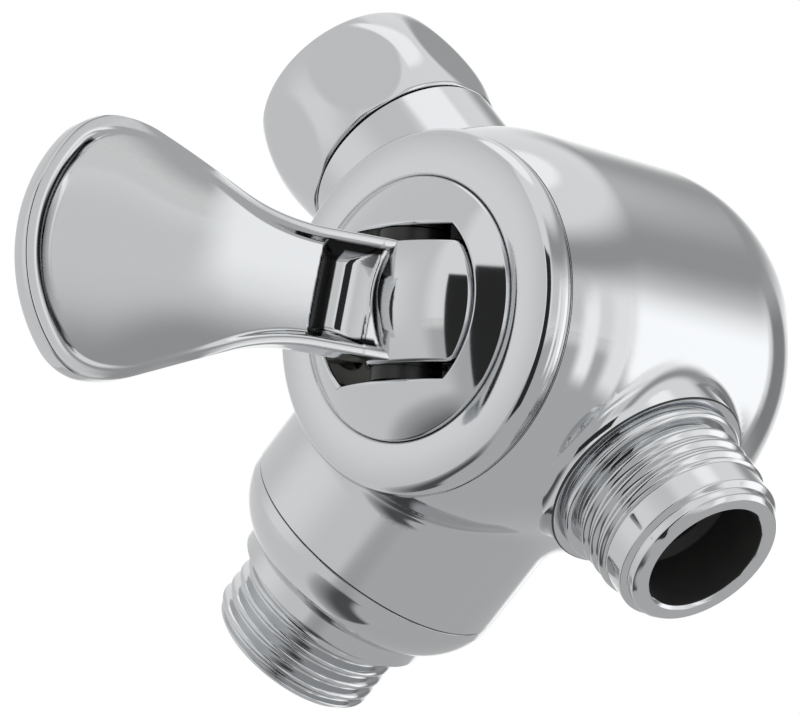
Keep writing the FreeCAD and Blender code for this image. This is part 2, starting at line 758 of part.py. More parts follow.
# Shower outlet nipple: a screwed shank, a rounded collar, a step ring and the male thread at its full size
pieces.append(turned("shower_outlet_nipple", shower_frame, [
    ("shower_bore_radius", "shower_shank_end"),
    ("shower_shank_radius", "shower_shank_end"),
    ("shower_shank_radius", "barrel_end"),
    ("shower_collar_radius", "barrel_end"),
    ("shower_collar_radius", "shower_collar_end"),
    ("shower_shoulder_radius", "shower_shoulder_end", "shower_shoulder_curve"),
    ("shower_ring_radius", "shower_ring_start"),
    ("shower_ring_radius", "shower_ring_end"),
    ("shower_undercut_radius", ("shower_ring_end", 0.3)),
    ("shower_undercut_radius", ("shower_thread_start", -0.6)),
    ("thread_radius", "shower_thread_start"),
    ("thread_radius", ("shower_end", -sizes["thread_chamfer"])),
    (("thread_radius", -sizes["thread_chamfer"]), "shower_end"),
    ("shower_bore_radius", "shower_end"),
]))
shower_seal_place = ("barrel_socket_floor", sizes["seal_section"])
pieces.append(sealing_ring("shower_nipple_seal", shower_frame, "shower_seal_radius", shower_seal_place))

# Hose outlet nipple: a flange, a relief groove, the male thread and a plain pilot lip for the hose washer
pieces.append(turned("hose_outlet_nipple", hose_frame, [
    ("hose_waist_radius", "hose_shank_end"),
    ("hose_shank_radius", "hose_shank_end"),
    ("hose_shank_radius", "hose_boss_end"),
    ("hose_root_radius", "hose_boss_end"),
    ("hose_root_radius", "hose_root_end"),
    ("hose_flange_radius", ("hose_root_end", 0.15)),
    ("hose_flange_radius", ("hose_flange_end", -0.4)),
    (("hose_flange_radius", -0.4), "hose_flange_end"),
    ("hose_groove_radius", "hose_flange_end"),
    ("hose_groove_radius", ("hose_thread_start", -0.5)),
    ("thread_radius", "hose_thread_start"),
    ("thread_radius", "hose_thread_end"),
    ("hose_lip_radius", ("hose_thread_end", 0.8)),
    ("hose_lip_radius", ("hose_end", -0.4)),
    (("hose_lip_radius", -0.4), "hose_end"),
    ("hose_bore_radius", "hose_end"),
    ("hose_bore_radius", "hose_bore_floor"),
    ("hose_waist_radius", ("hose_bore_floor", -1.0)),
]))
hose_seal_place = ("hose_socket_floor", sizes["seal_section"])
pieces.append(sealing_ring("hose_nipple_seal", hose_frame, "hose_seal_radius", hose_seal_place))

# Inlet tailpiece: a flanged sleeve screwed into the neck, with a hex key way, that keeps the nut on
tailpiece = turned("inlet_tailpiece", inlet_frame, [
    ("tail_bore_radius", "tail_shank_end"),
    ("neck_socket_radius", "tail_shank_end"),
    ("neck_socket_radius", "tail_flange_start"),
    ("tail_flange_radius", "tail_flange_start"),
    ("tail_flange_radius", "tail_flange_end"),
    ("tail_bore_radius", "tail_flange_end"),
])


def draw_hexagon(sketch, flats):
    """Six equal sides about the origin, held by one flat's distance."""
    reach = sizes[flats] / math.sqrt(3.0)
    corners = []
    for i in range(6):
        angle = math.radians(60.0 * i)
        corners.append((reach * math.cos(angle), reach * math.sin(angle)))
    draw(sketch, corners)


key_way = new_sketch(tailpiece, "key_way", "XY_Plane", sizes["tail_flange_end"])
draw_hexagon(key_way, "tail_key_flats")
pocketed(tailpiece, key_way, "Sizes.tail_key_depth")
pieces.append(tailpiece)
tail_seal_place = ("neck_socket_floor", sizes["seal_section"])
pieces.append(sealing_ring("tailpiece_seal", inlet_frame, "tail_seal_radius", tail_seal_place))

# Swivel nut: a hexagon turned down at both ends, with a rear lip and the female thread at its core size
nut_blank = turned("nut_blank", inlet_frame, [
    ("nut_lip_radius", "nut_start"),
    ("nut_end_radius", "nut_start"),
    ("nut_turned_radius", ("nut_start", sizes["nut_cone"])),
    ("nut_turned_radius", ("nut_mouth", -sizes["nut_cone"])),
    ("nut_end_radius", "nut_mouth"),
    ("nut_mouth_radius", "nut_mouth"),
    ("nut_thread_radius", "nut_thread_end"),
    ("nut_thread_radius", "nut_relief_end"),
    ("nut_relief_radius", ("nut_relief_end", -0.3)),
    ("nut_relief_radius", "nut_lip_end"),
    ("nut_lip_radius", "nut_lip_end"),
])
hexagon = doc.addObject("Part::Prism", "nut_hexagon")
hexagon.Polygon = 6
hexagon.setExpression("Circumradius", "Sizes.nut_flats / sqrt(3)")
hexagon.setExpression("Height", "Sizes.nut_mouth - Sizes.nut_start + 2")
hexagon_turn = Rotation(Vector(0, 0, 1), sizes["nut_turn"])
hexagon.Placement = inlet_frame.multiply(Placement(Vector(0, 0, sizes["nut_start"] - 1.0), hexagon_turn))
nut = doc.addObject("Part::MultiCommon", "swivel_nut")
nut.Label = "swivel_nut"
nut.Shapes = [nut_blank, hexagon]
pieces.append(nut)

# Rubber washer and the perforated screen set into it
pieces.append(turned("inlet_washer", inlet_frame, [
    ("inlet_washer_inner", "tail_flange_end"),
    ("inlet_washer_outer", "tail_flange_end"),
    ("inlet_washer_outer", ("tail_flange_end", sizes["inlet_washer_thick"])),
    ("inlet_washer_inner", ("tail_flange_end", sizes["inlet_washer_thick"])),
]))
screen_back = sizes["tail_flange_end"] + sizes["inlet_washer_thick"] - sizes["screen_thick"]
screen = new_body("filter_screen", inlet_frame)
screen_outline = new_sketch(screen, "screen_outline", "XY_Plane", screen_back)
draw_circle(screen_outline, 0.0, 0.0, "inlet_washer_inner")
draw_circle(screen_outline, 0.0, 0.0, "screen_hole_radius")
for ring_radius, count in (("screen_ring_radius", 6), ("screen_outer_ring_radius", 12)):
    for i in range(count):
        angle = 2.0 * math.pi * i / count
        reach = sizes[ring_radius]
        draw_circle(screen_outline, reach * math.cos(angle), reach * math.sin(angle), "screen_hole_radius")
padded(screen, screen_outline, "Sizes.screen_thick")
pieces.append(screen)

doc.recompute()
for item in doc.Objects:
    if "Invalid" in item.State or "Error" in item.State:
        raise RuntimeError("%s: %s" % (item.Name, item.State))
os.makedirs("parts", exist_ok=True)
for piece in pieces:
    shape = piece.Shape
    if shape.isNull() or not shape.isValid():
        raise RuntimeError("no valid solid in " + piece.Label)
    shape.exportStep("parts/%s.step" % piece.Label)
    print(piece.Label, len(shape.Solids), "solid", round(shape.Volume), "mm3")
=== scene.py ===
import math
import bmesh
import bpy
import numpy as np
from mathutils import Matrix, Vector


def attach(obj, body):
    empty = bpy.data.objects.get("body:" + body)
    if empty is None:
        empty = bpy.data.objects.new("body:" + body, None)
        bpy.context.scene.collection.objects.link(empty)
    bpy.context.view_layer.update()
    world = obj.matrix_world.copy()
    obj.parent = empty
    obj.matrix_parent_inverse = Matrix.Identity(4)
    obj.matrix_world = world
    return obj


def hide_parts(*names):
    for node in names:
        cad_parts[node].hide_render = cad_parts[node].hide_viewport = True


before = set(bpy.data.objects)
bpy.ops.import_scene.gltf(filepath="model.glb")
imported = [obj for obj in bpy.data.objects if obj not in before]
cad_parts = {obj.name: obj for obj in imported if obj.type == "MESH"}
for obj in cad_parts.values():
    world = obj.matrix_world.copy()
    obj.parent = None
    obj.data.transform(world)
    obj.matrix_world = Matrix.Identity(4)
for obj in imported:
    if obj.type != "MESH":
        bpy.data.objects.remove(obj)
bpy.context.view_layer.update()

print("frame loaded:", len(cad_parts), "CAD nodes")

# Lengths are millimetres in each piece's own frame; rowPoints turns them into metres in the shared frame.
slant = math.sqrt(0.5)
valveCentre = np.array([45.9 * slant, 0.0, -45.9 * slant])
leverAxes = np.array([[1.0, 0.0, 0.0], [0.0, 0.0, 1.0], [0.0, -1.0, 0.0]])  # right, up, forward
inletAxes = np.array([[0.0, 1.0, 0.0], [-slant, 0.0, -slant], [-slant, 0.0, slant]])
showerAxes = np.array([[0.0, 1.0, 0.0], [slant, 0.0, -slant], [-slant, 0.0, -slant]])
hoseAxes = np.array([[0.0, 1.0, 0.0], [slant, 0.0, slant], [slant, 0.0, -slant]])
barrelOffset = 1.9
showerCentre = valveCentre + leverAxes[2] * barrelOffset


def rowPoints(points, centre, axes):
    return (centre + np.asarray(points, float).reshape(-1, 3) @ axes) * 0.001


def hexColour(text):
    channels = [int(text[i:i + 2], 16) / 255.0 for i in (0, 2, 4)]
    linear = [c / 12.92 if c <= 0.04045 else ((c + 0.055) / 1.055) ** 2.4 for c in channels]
    return (*linear, 1.0)


def addNode(tree, kind, settings=None, **links):
    node = tree.nodes.new(kind)
    for name, setting in (settings or {}).items():
        if name in node.inputs:
            node.inputs[name].default_value = setting
        else:
            setattr(node, name, setting)
    for name, source in links.items():
        tree.links.new(source, node.inputs[name.replace("_", " ")])
    return node


# Camera: matched to the photo by its port axes, the bonnet's circles and the outlets' ends
cameraFit = {
    "offset": (411.65, -468.43, -106.46),
    "right": (0.7395, 0.6702, 0.0627),
    "up": (0.0646, -0.1634, 0.9844),
    "focalPixels": 5549.1,
    "widthPixels": 800.0,
}
right = Vector(cameraFit["right"]).normalized()
back = right.cross(Vector(cameraFit["up"])).normalized()
upward = back.cross(right)
place = (Vector(valveCentre) + Vector(cameraFit["offset"])) * 0.001
lens = bpy.data.cameras.new("photoCamera")
lens.sensor_fit = "HORIZONTAL"
lens.sensor_width = 36.0
lens.lens = lens.sensor_width * cameraFit["focalPixels"] / cameraFit["widthPixels"]
lens.clip_start = 0.01
cameraObject = bpy.data.objects.new("photoCamera", lens)
cameraObject.matrix_world = Matrix((
    (right.x, upward.x, back.x, place.x),
    (right.y, upward.y, back.y, place.y),
    (right.z, upward.z, back.z, place.z),
    (0.0, 0.0, 0.0, 1.0),
))
bpy.context.scene.collection.objects.link(cameraObject)
bpy.context.scene.camera = cameraObject
print("camera placed")


# Materials
def newMaterial(name):
    material = bpy.data.materials.new(name)
    material.use_nodes = True
    tree = material.node_tree
    return material, tree, tree.nodes["Principled BSDF"]


def perMillimetre(size):
    return 1000.0 / size  # noise scale for features of this size in object coordinates of metres


def mottledMaterial(name, grainSize, detail, dark, light, roughness, metallic=0.0):
    # a noise with grains of this size in millimetres wanders between two tones
    material, tree, shader = newMaterial(name)
    place = addNode(tree, "ShaderNodeTexCoord")
    grain = addNode(tree, "ShaderNodeTexNoise", {"Scale": perMillimetre(grainSize), "Detail": detail},
                    Vector=place.outputs["Object"])
    tone = addNode(tree, "ShaderNodeValToRGB", Fac=grain.outputs["Fac"])
    tone.color_ramp.elements[0].color = hexColour(dark)
    tone.color_ramp.elements[1].color = hexColour(light)
    tree.links.new(tone.outputs["Color"], shader.inputs["Base Color"])
    shader.inputs["Roughness"].default_value = roughness
    shader.inputs["Metallic"].default_value = metallic
    return material, tree, shader, grain


# Bright chromium plate on polished brass: a mirror, slightly dulled by a faint orange peel;
# where the mesh attribute crease is set, its colour is painted near black as shade in tight creases
chromePlate, tree, shader = newMaterial("bright_chromium_plate")
# painted shade: the crease attribute mixes the plate's colour towards near black
crease = addNode(tree, "ShaderNodeAttribute", {"attribute_name": "crease"})
tone = addNode(tree, "ShaderNodeValToRGB", Fac=crease.outputs["Fac"])
tone.color_ramp.elements[0].color = hexColour("CED0D2")
tone.color_ramp.elements[1].color = hexColour("1C1C1C")
tree.links.new(tone.outputs["Color"], shader.inputs["Base Color"])
shader.inputs["Metallic"].default_value = 1.0
place = addNode(tree, "ShaderNodeTexCoord")
film = addNode(tree, "ShaderNodeTexNoise", {"Scale": perMillimetre(9.0), "Detail": 2.0},
               Vector=place.outputs["Object"])
gloss = addNode(tree, "ShaderNodeMapRange", {"To Min": 0.045, "To Max": 0.085}, Value=film.outputs["Fac"])
tree.links.new(gloss.outputs["Result"], shader.inputs["Roughness"])

# Turned brass, unplated: warm, with patches of light tarnish
turnedBrass = mottledMaterial("turned_brass", 3.0, 4.0, "B38A45", "CFA75C", 0.28, 1.0)[0]

# Ground stainless steel: fine scratches one way
groundSteel, tree, shader = newMaterial("ground_stainless_steel")
shader.inputs["Base Color"].default_value = hexColour("B9BABA")
shader.inputs["Metallic"].default_value = 1.0
place = addNode(tree, "ShaderNodeTexCoord")
stretch = addNode(tree, "ShaderNodeMapping", {"Scale": (1.0, 1.0, 12.0)}, Vector=place.outputs["Object"])
scratch = addNode(tree, "ShaderNodeTexNoise", {"Scale": perMillimetre(1.5), "Detail": 3.0},
                  Vector=stretch.outputs["Vector"])
gloss = addNode(tree, "ShaderNodeMapRange", {"To Min": 0.2, "To Max": 0.38}, Value=scratch.outputs["Fac"])
tree.links.new(gloss.outputs["Result"], shader.inputs["Roughness"])

# Moulded nitrile rubber: near black, matt, with a fine talc bloom
nitrile, tree, shader, bloom = mottledMaterial("moulded_nitrile_rubber", 1.2, 5.0, "161616", "2B2B2A", 0.7)
grain = addNode(tree, "ShaderNodeBump", {"Strength": 0.15, "Distance": 0.0001}, Height=bloom.outputs["Fac"])
tree.links.new(grain.outputs["Normal"], shader.inputs["Normal"])

# Lapped alumina: off-white, dense and softly glossy
alumina = mottledMaterial("lapped_alumina_ceramic", 2.0, 3.0, "E9E6DC", "F2F0E9", 0.22)[0]

# Black acetal, moulded: smooth with a waxy sheen
acetal = mottledMaterial("moulded_black_acetal", 4.0, 2.0, "101011", "1B1B1D", 0.38)[0]

# Unplated waterway brass, dull; its near-black colour is painted shade down the bores, the only place it
# shows
boreShadeBrass = mottledMaterial("bore_brass_painted_shade", 2.5, 4.0, "1E1E1E", "2E2D2C", 0.6)[0]
print("materials made")


# Meshes
def finishPiece(name, mesh, material, slot, ridesOn, *replaced):
    mesh.materials.append(material)
    piece = bpy.data.objects.new(name, mesh)
    bpy.context.scene.collection.objects.link(piece)
    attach(piece, ridesOn)
    if replaced:
        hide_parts(*replaced)
    return piece


def gridFaces(rows, cols, wrapRows, wrapCols, start=0):
    faces = []
    for i in range(rows if wrapRows else rows - 1):
        below = (i + 1) % rows
        for j in range(cols if wrapCols else cols - 1):
            beside = (j + 1) % cols
            faces.append((start + i * cols + j, start + i * cols + beside,
                          start + below * cols + beside, start + below * cols + j))
    return faces


def meshFrom(name, points, faces, normals=None):
    mesh = bpy.data.meshes.new(name)
    mesh.from_pydata(points.tolist(), [], faces)
    for polygon in mesh.polygons:
        polygon.use_smooth = True
    mesh.update()
    if normals is not None:
        mesh.normals_split_custom_set_from_vertices(normals.tolist())
    return mesh


def arcPoints(start, finish, radius, count):
    # the short arc of this radius from start to finish; a positive radius turns left on the way
    start = np.array(start)
    finish = np.array(finish)
    chord = finish - start
    length = np.hypot(*chord)
    left = np.array([-chord[1], chord[0]]) / length
    rise = math.sqrt(radius * radius - length * length / 4.0)
    middle = (start + finish) / 2.0 + left * (rise if radius > 0 else -rise)
    first = math.atan2(*(start - middle)[::-1])
    turn = math.atan2(*(finish - middle)[::-1]) - first
    turn = (turn + math.pi) % (2.0 * math.pi) - math.pi
    steps = first + turn * np.linspace(0.0, 1.0, count + 1)[1:]
    return [tuple(middle + abs(radius) * np.array([math.cos(t), math.sin(t)])) for t in steps]


def softLoop(outline, softness, longest=2.5, step=0.04):
    # a closed outline with every corner eased, thinned where it is straight; gives points and outward normals
    loop = np.array(outline, float)
    ends = np.roll(loop, -1, axis=0)
    fine = []
    for a, b in zip(loop, ends):
        count = max(2, int(np.hypot(*(b - a)) / step))
        fine.append(a + (b - a) * np.linspace(0.0, 1.0, count, endpoint=False)[:, None])
    fine = np.vstack(fine)
    reach = int(3.0 * softness / step)
    weights = np.exp(-0.5 * (np.arange(-reach, reach + 1) * step / softness) ** 2)
    weights /= weights.sum()
    padded = np.vstack([fine[-reach:], fine, fine[:reach]])
    eased = np.column_stack([np.convolve(padded[:, k], weights, "valid") for k in (0, 1)])
    along = np.roll(eased, -1, axis=0) - np.roll(eased, 1, axis=0)
    along /= np.hypot(along[:, 0], along[:, 1])[:, None] + 1e-12
    outward = np.column_stack([along[:, 1], -along[:, 0]])
    heading = np.unwrap(np.arctan2(along[:, 1], along[:, 0]))
    kept = [0]
    for k in range(1, len(eased)):
        turned = abs(heading[k] - heading[kept[-1]])
        if turned > math.radians(4.0) or np.hypot(*(eased[k] - eased[kept[-1]])) > longest:
            kept.append(k)
            continue
        bendsNext = k + 1 < len(eased) and abs(heading[k + 1] - heading[k]) > 1e-3
        if bendsNext and turned < 1e-4 and k - kept[-1] > 3:
            kept.append(k)
    return eased[kept], outward[kept]


def profilePoints(form, *names):
    # each pair of names gives a point's radius and its length along the axis
    return [tuple(form[name] for name in pair.split()) for pair in names]


def lathePiece(name, outline, form, centre, axes, material, slot, ridesOn, *replaced):
    # outline: closed (radius, length) points, counter-clockwise with the radius to the right
    profile, outward = softLoop(outline, form["edgeSoft"])
    segments = form["segments"]
    turn = 2.0 * math.pi * np.arange(segments) / segments
    spokes = np.column_stack([np.cos(turn), np.sin(turn)])
    points = np.zeros((len(profile), segments, 3))
    normals = np.zeros_like(points)
    for grid, rows in ((points, profile), (normals, outward)):
        grid[:, :, :2] = rows[:, None, :1] * spokes[None]
        grid[:, :, 2] = rows[:, 1:]
    faces = gridFaces(len(profile), segments, True, True)
    mesh = meshFrom(name, rowPoints(points, centre, axes), faces, normals.reshape(-1, 3) @ axes)
    return finishPiece(name, mesh, material, slot, ridesOn, *replaced)


chromeSlot = "polished_chrome"

# Body casting: one shell whose bullet, barrel, boss and neck run into each other with small fillets
casting = {
    "radius": 22.9, "domeStart": -11.0, "domeDepth": 19.2, "domeSide": 17.5,
    "shoulder": 9.5, "shoulderCurve": 19.0, "frontCut": 18.72,
    "barrelRadius": 16.6, "barrelEnd": 30.7, "bossRadius": 12.2, "bossEnd": 23.8,
    "neckRadius": 12.0, "neckEnd": 32.0, "portStart": 4.0, "wall": 3.5, "socketDepth": 8.0,
    "fillet": 1.7, "edge": 0.22, "voxel": 0.55, "frontSpare": 3.0, "frontTaper": 2.0, "portSpare": 2.5,
    "rounding": ((0.07, 0.10, 0.38), (0.16, 0.02, 0.92), (0.3, 0.0, 1.0)),  # in, back, share facing the end
}
portList = [
    (showerAxes[2] @ leverAxes.T, barrelOffset, casting["barrelRadius"], casting["barrelEnd"]),
    (hoseAxes[2] @ leverAxes.T, 0.0, casting["bossRadius"], casting["bossEnd"]),
    (inletAxes[2] @ leverAxes.T, 0.0, casting["neckRadius"], casting["neckEnd"]),
]


def castingDistance(p):
    across = np.hypot(p[:, 0], p[:, 1])
    forward = p[:, 2]
    inner = casting["radius"] - casting["shoulderCurve"]
    sideReach = casting["radius"] - casting["domeSide"]
    excess = casting["domeDepth"] - casting["domeSide"]
    middleRise = (sideReach ** 2 - excess ** 2) / (2.0 * excess)
    behind = casting["domeStart"] - forward
    side = np.hypot(across - sideReach, behind) - casting["domeSide"]
    middle = np.hypot(across, behind + middleRise) - casting["domeDepth"] - middleRise
    dome = np.where(across * middleRise < sideReach * (behind + middleRise), middle, side)
    shoulder = np.hypot(across - inner, forward - casting["shoulder"]) - casting["shoulderCurve"]
    field = np.where(forward < casting["domeStart"], dome, across - casting["radius"])
    field = np.where(forward > casting["shoulder"], shoulder, field)
    for direction, offset, radius, _ in portList:
        q = p - np.array([0.0, 0.0, offset])
        along = q @ direction
        tube = np.linalg.norm(q - along[:, None] * direction, axis=1) - radius
        tube = np.maximum(tube, casting["portStart"] - along)
        near = np.maximum(casting["fillet"] - np.abs(field - tube), 0.0) / casting["fillet"]
        field = np.minimum(field, tube) - near * near * casting["fillet"] / 4.0
    return field


def castingSlope(p):
    small = 1e-3
    slope = np.zeros_like(p)
    for k in range(3):
        shift = np.zeros(3)
        shift[k] = small
        slope[:, k] = castingDistance(p + shift) - castingDistance(p - shift)
    return slope / (2.0 * small)


rough = bmesh.new()
bmesh.ops.create_uvsphere(rough, u_segments=96, v_segments=48, radius=casting["radius"],
                          matrix=Matrix.Translation((0.0, 0.0, casting["domeStart"])))
barLength = casting["frontCut"] + casting["frontSpare"] - casting["domeStart"]
barMiddle = casting["domeStart"] + barLength / 2.0
bmesh.ops.create_cone(rough, cap_ends=True, segments=128, radius1=casting["radius"],
                      radius2=casting["radius"] - casting["frontTaper"], depth=barLength,
                      matrix=Matrix.Translation((0.0, 0.0, barMiddle)))
for direction, offset, radius, end in portList:
    length = end + casting["portSpare"]
    spot = Vector(direction) * (length / 2.0) + Vector((0.0, 0.0, offset))
    tilt = Vector((0.0, 0.0, 1.0)).rotation_difference(Vector(direction)).to_matrix().to_4x4()
    bmesh.ops.create_cone(rough, cap_ends=True, segments=96, radius1=radius, radius2=radius, depth=length,
                          matrix=Matrix.Translation(spot) @ tilt)
roughMesh = bpy.data.meshes.new("castingRough")
rough.to_mesh(roughMesh)
rough.free()
roughObject = bpy.data.objects.new("castingRough", roughMesh)
bpy.context.scene.collection.objects.link(roughObject)
remesh = roughObject.modifiers.new("voxels", "REMESH")
remesh.mode = "VOXEL"
remesh.voxel_size = casting["voxel"]
evaluated = roughObject.evaluated_get(bpy.context.evaluated_depsgraph_get())
shellMesh = bpy.data.meshes.new_from_object(evaluated)
bpy.data.objects.remove(roughObject)
shell = bmesh.new()
shell.from_mesh(shellMesh)


def settle(points, rounds):
    for _ in range(rounds):
        slope = castingSlope(points)
        steep = np.maximum((slope * slope).sum(axis=1), 0.2)
        points = points - slope * (castingDistance(points) / steep)[:, None]
    return points


spots = settle(np.array([v.co[:] for v in shell.verts]), 6)
for vertex, spot in zip(shell.verts, spots):
    vertex.co = spot
cuts = [((0.0, 0.0, casting["frontCut"]), (0.0, 0.0, 1.0))]
for direction, offset, _, end in portList:
    cuts.append((np.array([0.0, 0.0, offset]) + direction * (end - casting["edge"]), direction))
for place, facing in cuts:
    everything = shell.verts[:] + shell.edges[:] + shell.faces[:]
    bmesh.ops.bisect_plane(shell, geom=everything, plane_co=place, plane_no=facing, clear_outer=True)
spots = np.array([v.co[:] for v in shell.verts])
leans = castingSlope(spots)
leans /= np.linalg.norm(leans, axis=1)[:, None]
leanLayer = shell.verts.layers.float_vector.new("lean")
for vertex, lean in zip(shell.verts, leans):
    vertex[leanLayer] = lean
# each cut end is rounded over, turned in to its socket and closed
for direction, offset, radius, end in portList:
    origin = np.array([0.0, 0.0, offset])
    rim = [e for e in shell.edges if e.is_boundary and
           all(abs((np.array(v.co[:]) - origin) @ direction - end + casting["edge"]) < 1e-3 for v in e.verts)]
    socket = radius - casting["wall"]
    stages = [(radius - inward, end - drop, facing) for inward, drop, facing in casting["rounding"]]
    stages += [(socket, end, 1.0), (socket, end - casting["socketDepth"], 0.0)]
    for ringRadius, ringPlace, facing in stages:
        made = bmesh.ops.extrude_edge_only(shell, edges=rim)["geom"]
        rim = [g for g in made if isinstance(g, bmesh.types.BMEdge)]
        # faces behind the end face, down into the socket, take the second material: painted shade
        for face in [g for g in made if isinstance(g, bmesh.types.BMFace)]:
            face.material_index = 1 if ringPlace < end else 0
        for vertex in [g for g in made if isinstance(g, bmesh.types.BMVert)]:
            q = np.array(vertex.co[:]) - origin
            spoke = q - (q @ direction) * direction
            spoke /= np.linalg.norm(spoke)
            vertex.co = origin + spoke * ringRadius + direction * ringPlace
            lean = spoke * math.sqrt(1.0 - facing * facing) + direction * facing
            vertex[leanLayer] = lean if ringPlace > end - 1.0 else -spoke
    for face in bmesh.ops.edgeloop_fill(shell, edges=rim)["faces"]:
        face.material_index = 1
castingMesh = bpy.data.meshes.new("body_casting")
shell.to_mesh(castingMesh)
shell.free()
spots = np.zeros(len(castingMesh.vertices) * 3)
castingMesh.vertices.foreach_get("co", spots)
castingMesh.vertices.foreach_set("co", rowPoints(spots, valveCentre, leverAxes).ravel())
for polygon in castingMesh.polygons:
    polygon.use_smooth = True
castingMesh.update()
leans = np.zeros(len(castingMesh.vertices) * 3)
castingMesh.attributes["lean"].data.foreach_get("vector", leans)
castingMesh.attributes.remove(castingMesh.attributes["lean"])
castingMesh.normals_split_custom_set_from_vertices((leans.reshape(-1, 3) @ leverAxes).tolist())
finishPiece("body_casting", castingMesh, chromePlate, chromeSlot, "valve", "valve_body")
# second material: painted shade inside the sockets
castingMesh.materials.append(boreShadeBrass)
print("body casting:", len(castingMesh.vertices), "points")

# Bonnet ring: a rounded side, a crease and a gently domed face down to the lip
bonnet = {
    "bore": 15.55, "shank": 17.9, "tail": 12.1, "foot": 20.44, "footAt": 18.6,
    "groove": 19.75, "grooveAt": 18.8,
    "side": 20.62, "sideAt": 19.2, "sideCurve": 2.3, "crease": 19.7, "creaseAt": 22.2, "faceCurve": 14.0,
    "lip": 15.42, "lipAt": 22.93, "lipCurve": 0.45, "lipFoot": 15.0, "lipFootAt": 22.5, "shelf": 21.4,
    "edgeSoft": 0.06, "segments": 288,
}
outline = profilePoints(bonnet, "bore tail", "shank tail", "shank footAt", "foot footAt", "foot grooveAt",
                        "groove grooveAt", "groove sideAt", "side sideAt")
for finish, curve, count in (("crease creaseAt", "sideCurve", 14), ("lip lipAt", "faceCurve", 16),
                             ("lipFoot lipFootAt", "lipCurve", 6)):
    outline += arcPoints(outline[-1], profilePoints(bonnet, finish)[0], bonnet[curve], count)
outline += profilePoints(bonnet, "lipFoot shelf", "bore shelf")
lathePiece("bonnet_rim", outline, bonnet, valveCentre, leverAxes, chromePlate, chromeSlot, "valve",
           "bonnet_ring")
print("bonnet made")


# Turned pieces whose radius also changes round the axis, such as threads and flats
def turnedPiece(name, outline, form, reshape, centre, axes, material, slot, ridesOn, *replaced):
    profile, _ = softLoop(outline, form["edgeSoft"], form["rowStep"])
    segments = form["segments"]
    turn = 2.0 * math.pi * np.arange(segments) / segments
    radius = np.repeat(profile[:, :1], segments, axis=1)
    length = np.repeat(profile[:, 1:], segments, axis=1)
    radius = reshape(radius, length, np.broadcast_to(turn, radius.shape))
    points = np.stack([radius * np.cos(turn), radius * np.sin(turn), length], axis=2)
    around = np.roll(points, -1, axis=1) - np.roll(points, 1, axis=1)
    along = np.roll(points, -1, axis=0) - np.roll(points, 1, axis=0)
    normals = np.cross(around, along).reshape(-1, 3)
    normals /= np.linalg.norm(normals, axis=1)[:, None] + 1e-15
    faces = gridFaces(len(profile), segments, True, True)
    mesh = meshFrom(name, rowPoints(points, centre, axes), faces, normals @ axes)
    return finishPiece(name, mesh, material, slot, ridesOn, *replaced)


# Half-inch pipe thread, 14 to the inch, with eased crests and roots
pipeThread = {
    "pitch": 1.814, "crest": 10.48, "crestShare": 0.16, "rootShare": 0.14, "runIn": 0.7, "runOut": 0.5,
    "spare": 0.6,
}


def threadRidge(length, turn, start):
    wave = ((length - start) / pipeThread["pitch"] - turn / (2.0 * math.pi)) % 1.0
    flank = 1.0 - pipeThread["crestShare"] - pipeThread["rootShare"]
    rise = np.clip((np.abs(2.0 * wave - 1.0) - pipeThread["rootShare"]) / flank, 0.0, 1.0)
    return rise * rise * (3.0 - 2.0 * rise) * 0.5 + rise * 0.5


def maleThread(start, finish, depth):
    def reshape(radius, length, turn):
        fade = np.clip((length - start) / pipeThread["runIn"], 0.0, 1.0)
        fade = fade * np.clip((finish - length) / pipeThread["runOut"], 0.0, 1.0)
        cutTo = pipeThread["crest"] - depth * (1.0 - threadRidge(length, turn, start)) * fade
        innermost = pipeThread["crest"] - depth - pipeThread["spare"]
        inside = (length > start) & (length < finish) & (radius > innermost)
        return np.where(inside, np.minimum(radius, cutTo), radius)
    return reshape


boreMargin = 0.06


def paintBoreShade(mesh, centre, axes, reach, depth):
    # faces inside the bore and behind its mouth are unplated brass, coloured with painted shade
    mesh.materials.append(boreShadeBrass)
    middles = np.array([polygon.center[:] for polygon in mesh.polygons])
    local = (middles * 1000.0 - centre) @ axes.T
    within = (np.hypot(local[:, 0], local[:, 1]) < reach) & (local[:, 2] < depth)
    mesh.polygons.foreach_set("material_index", within.astype(np.int32))


# Shower outlet nipple: collar, rounded shoulder, step ring and thread
showerNipple = {
    "bore": 7.5, "root": 21.6, "shank": 11.95, "collar": 16.5, "collarStart": 30.7, "collarEnd": 32.0,
    "shoulderCurve": 8.5, "shoulder": 12.9, "shoulderEnd": 37.3,
    "step": 12.1, "stepStart": 37.8, "stepEnd": 40.0,
    "relief": 9.5, "reliefStart": 40.3, "reliefEnd": 40.4, "thread": pipeThread["crest"], "threadStart": 41.0,
    "threadEnd": 48.0, "end": 49.0, "cutStart": 40.8, "cutEnd": 49.3, "depth": 1.0, "darkFrom": 0.6,
    "edgeSoft": 0.09, "rowStep": 0.13, "segments": 180,
}
outline = profilePoints(showerNipple, "bore root", "shank root", "shank collarStart", "collar collarStart",
                        "collar collarEnd")
shoulderEnd = profilePoints(showerNipple, "shoulder shoulderEnd")[0]
outline += arcPoints(outline[-1], shoulderEnd, showerNipple["shoulderCurve"], 18)
outline += profilePoints(showerNipple, "step stepStart", "step stepEnd", "relief reliefStart",
                         "relief reliefEnd", "thread threadStart", "thread threadEnd", "relief end",
                         "bore end")
showerThread = maleThread(showerNipple["cutStart"], showerNipple["cutEnd"], showerNipple["depth"])
nipple = turnedPiece("shower_nipple", outline, showerNipple, showerThread, showerCentre, showerAxes,
                     chromePlate, chromeSlot, "valve", "shower_outlet_nipple")
paintBoreShade(nipple.data, showerCentre, showerAxes, showerNipple["bore"] + boreMargin,
           showerNipple["end"] - showerNipple["darkFrom"])

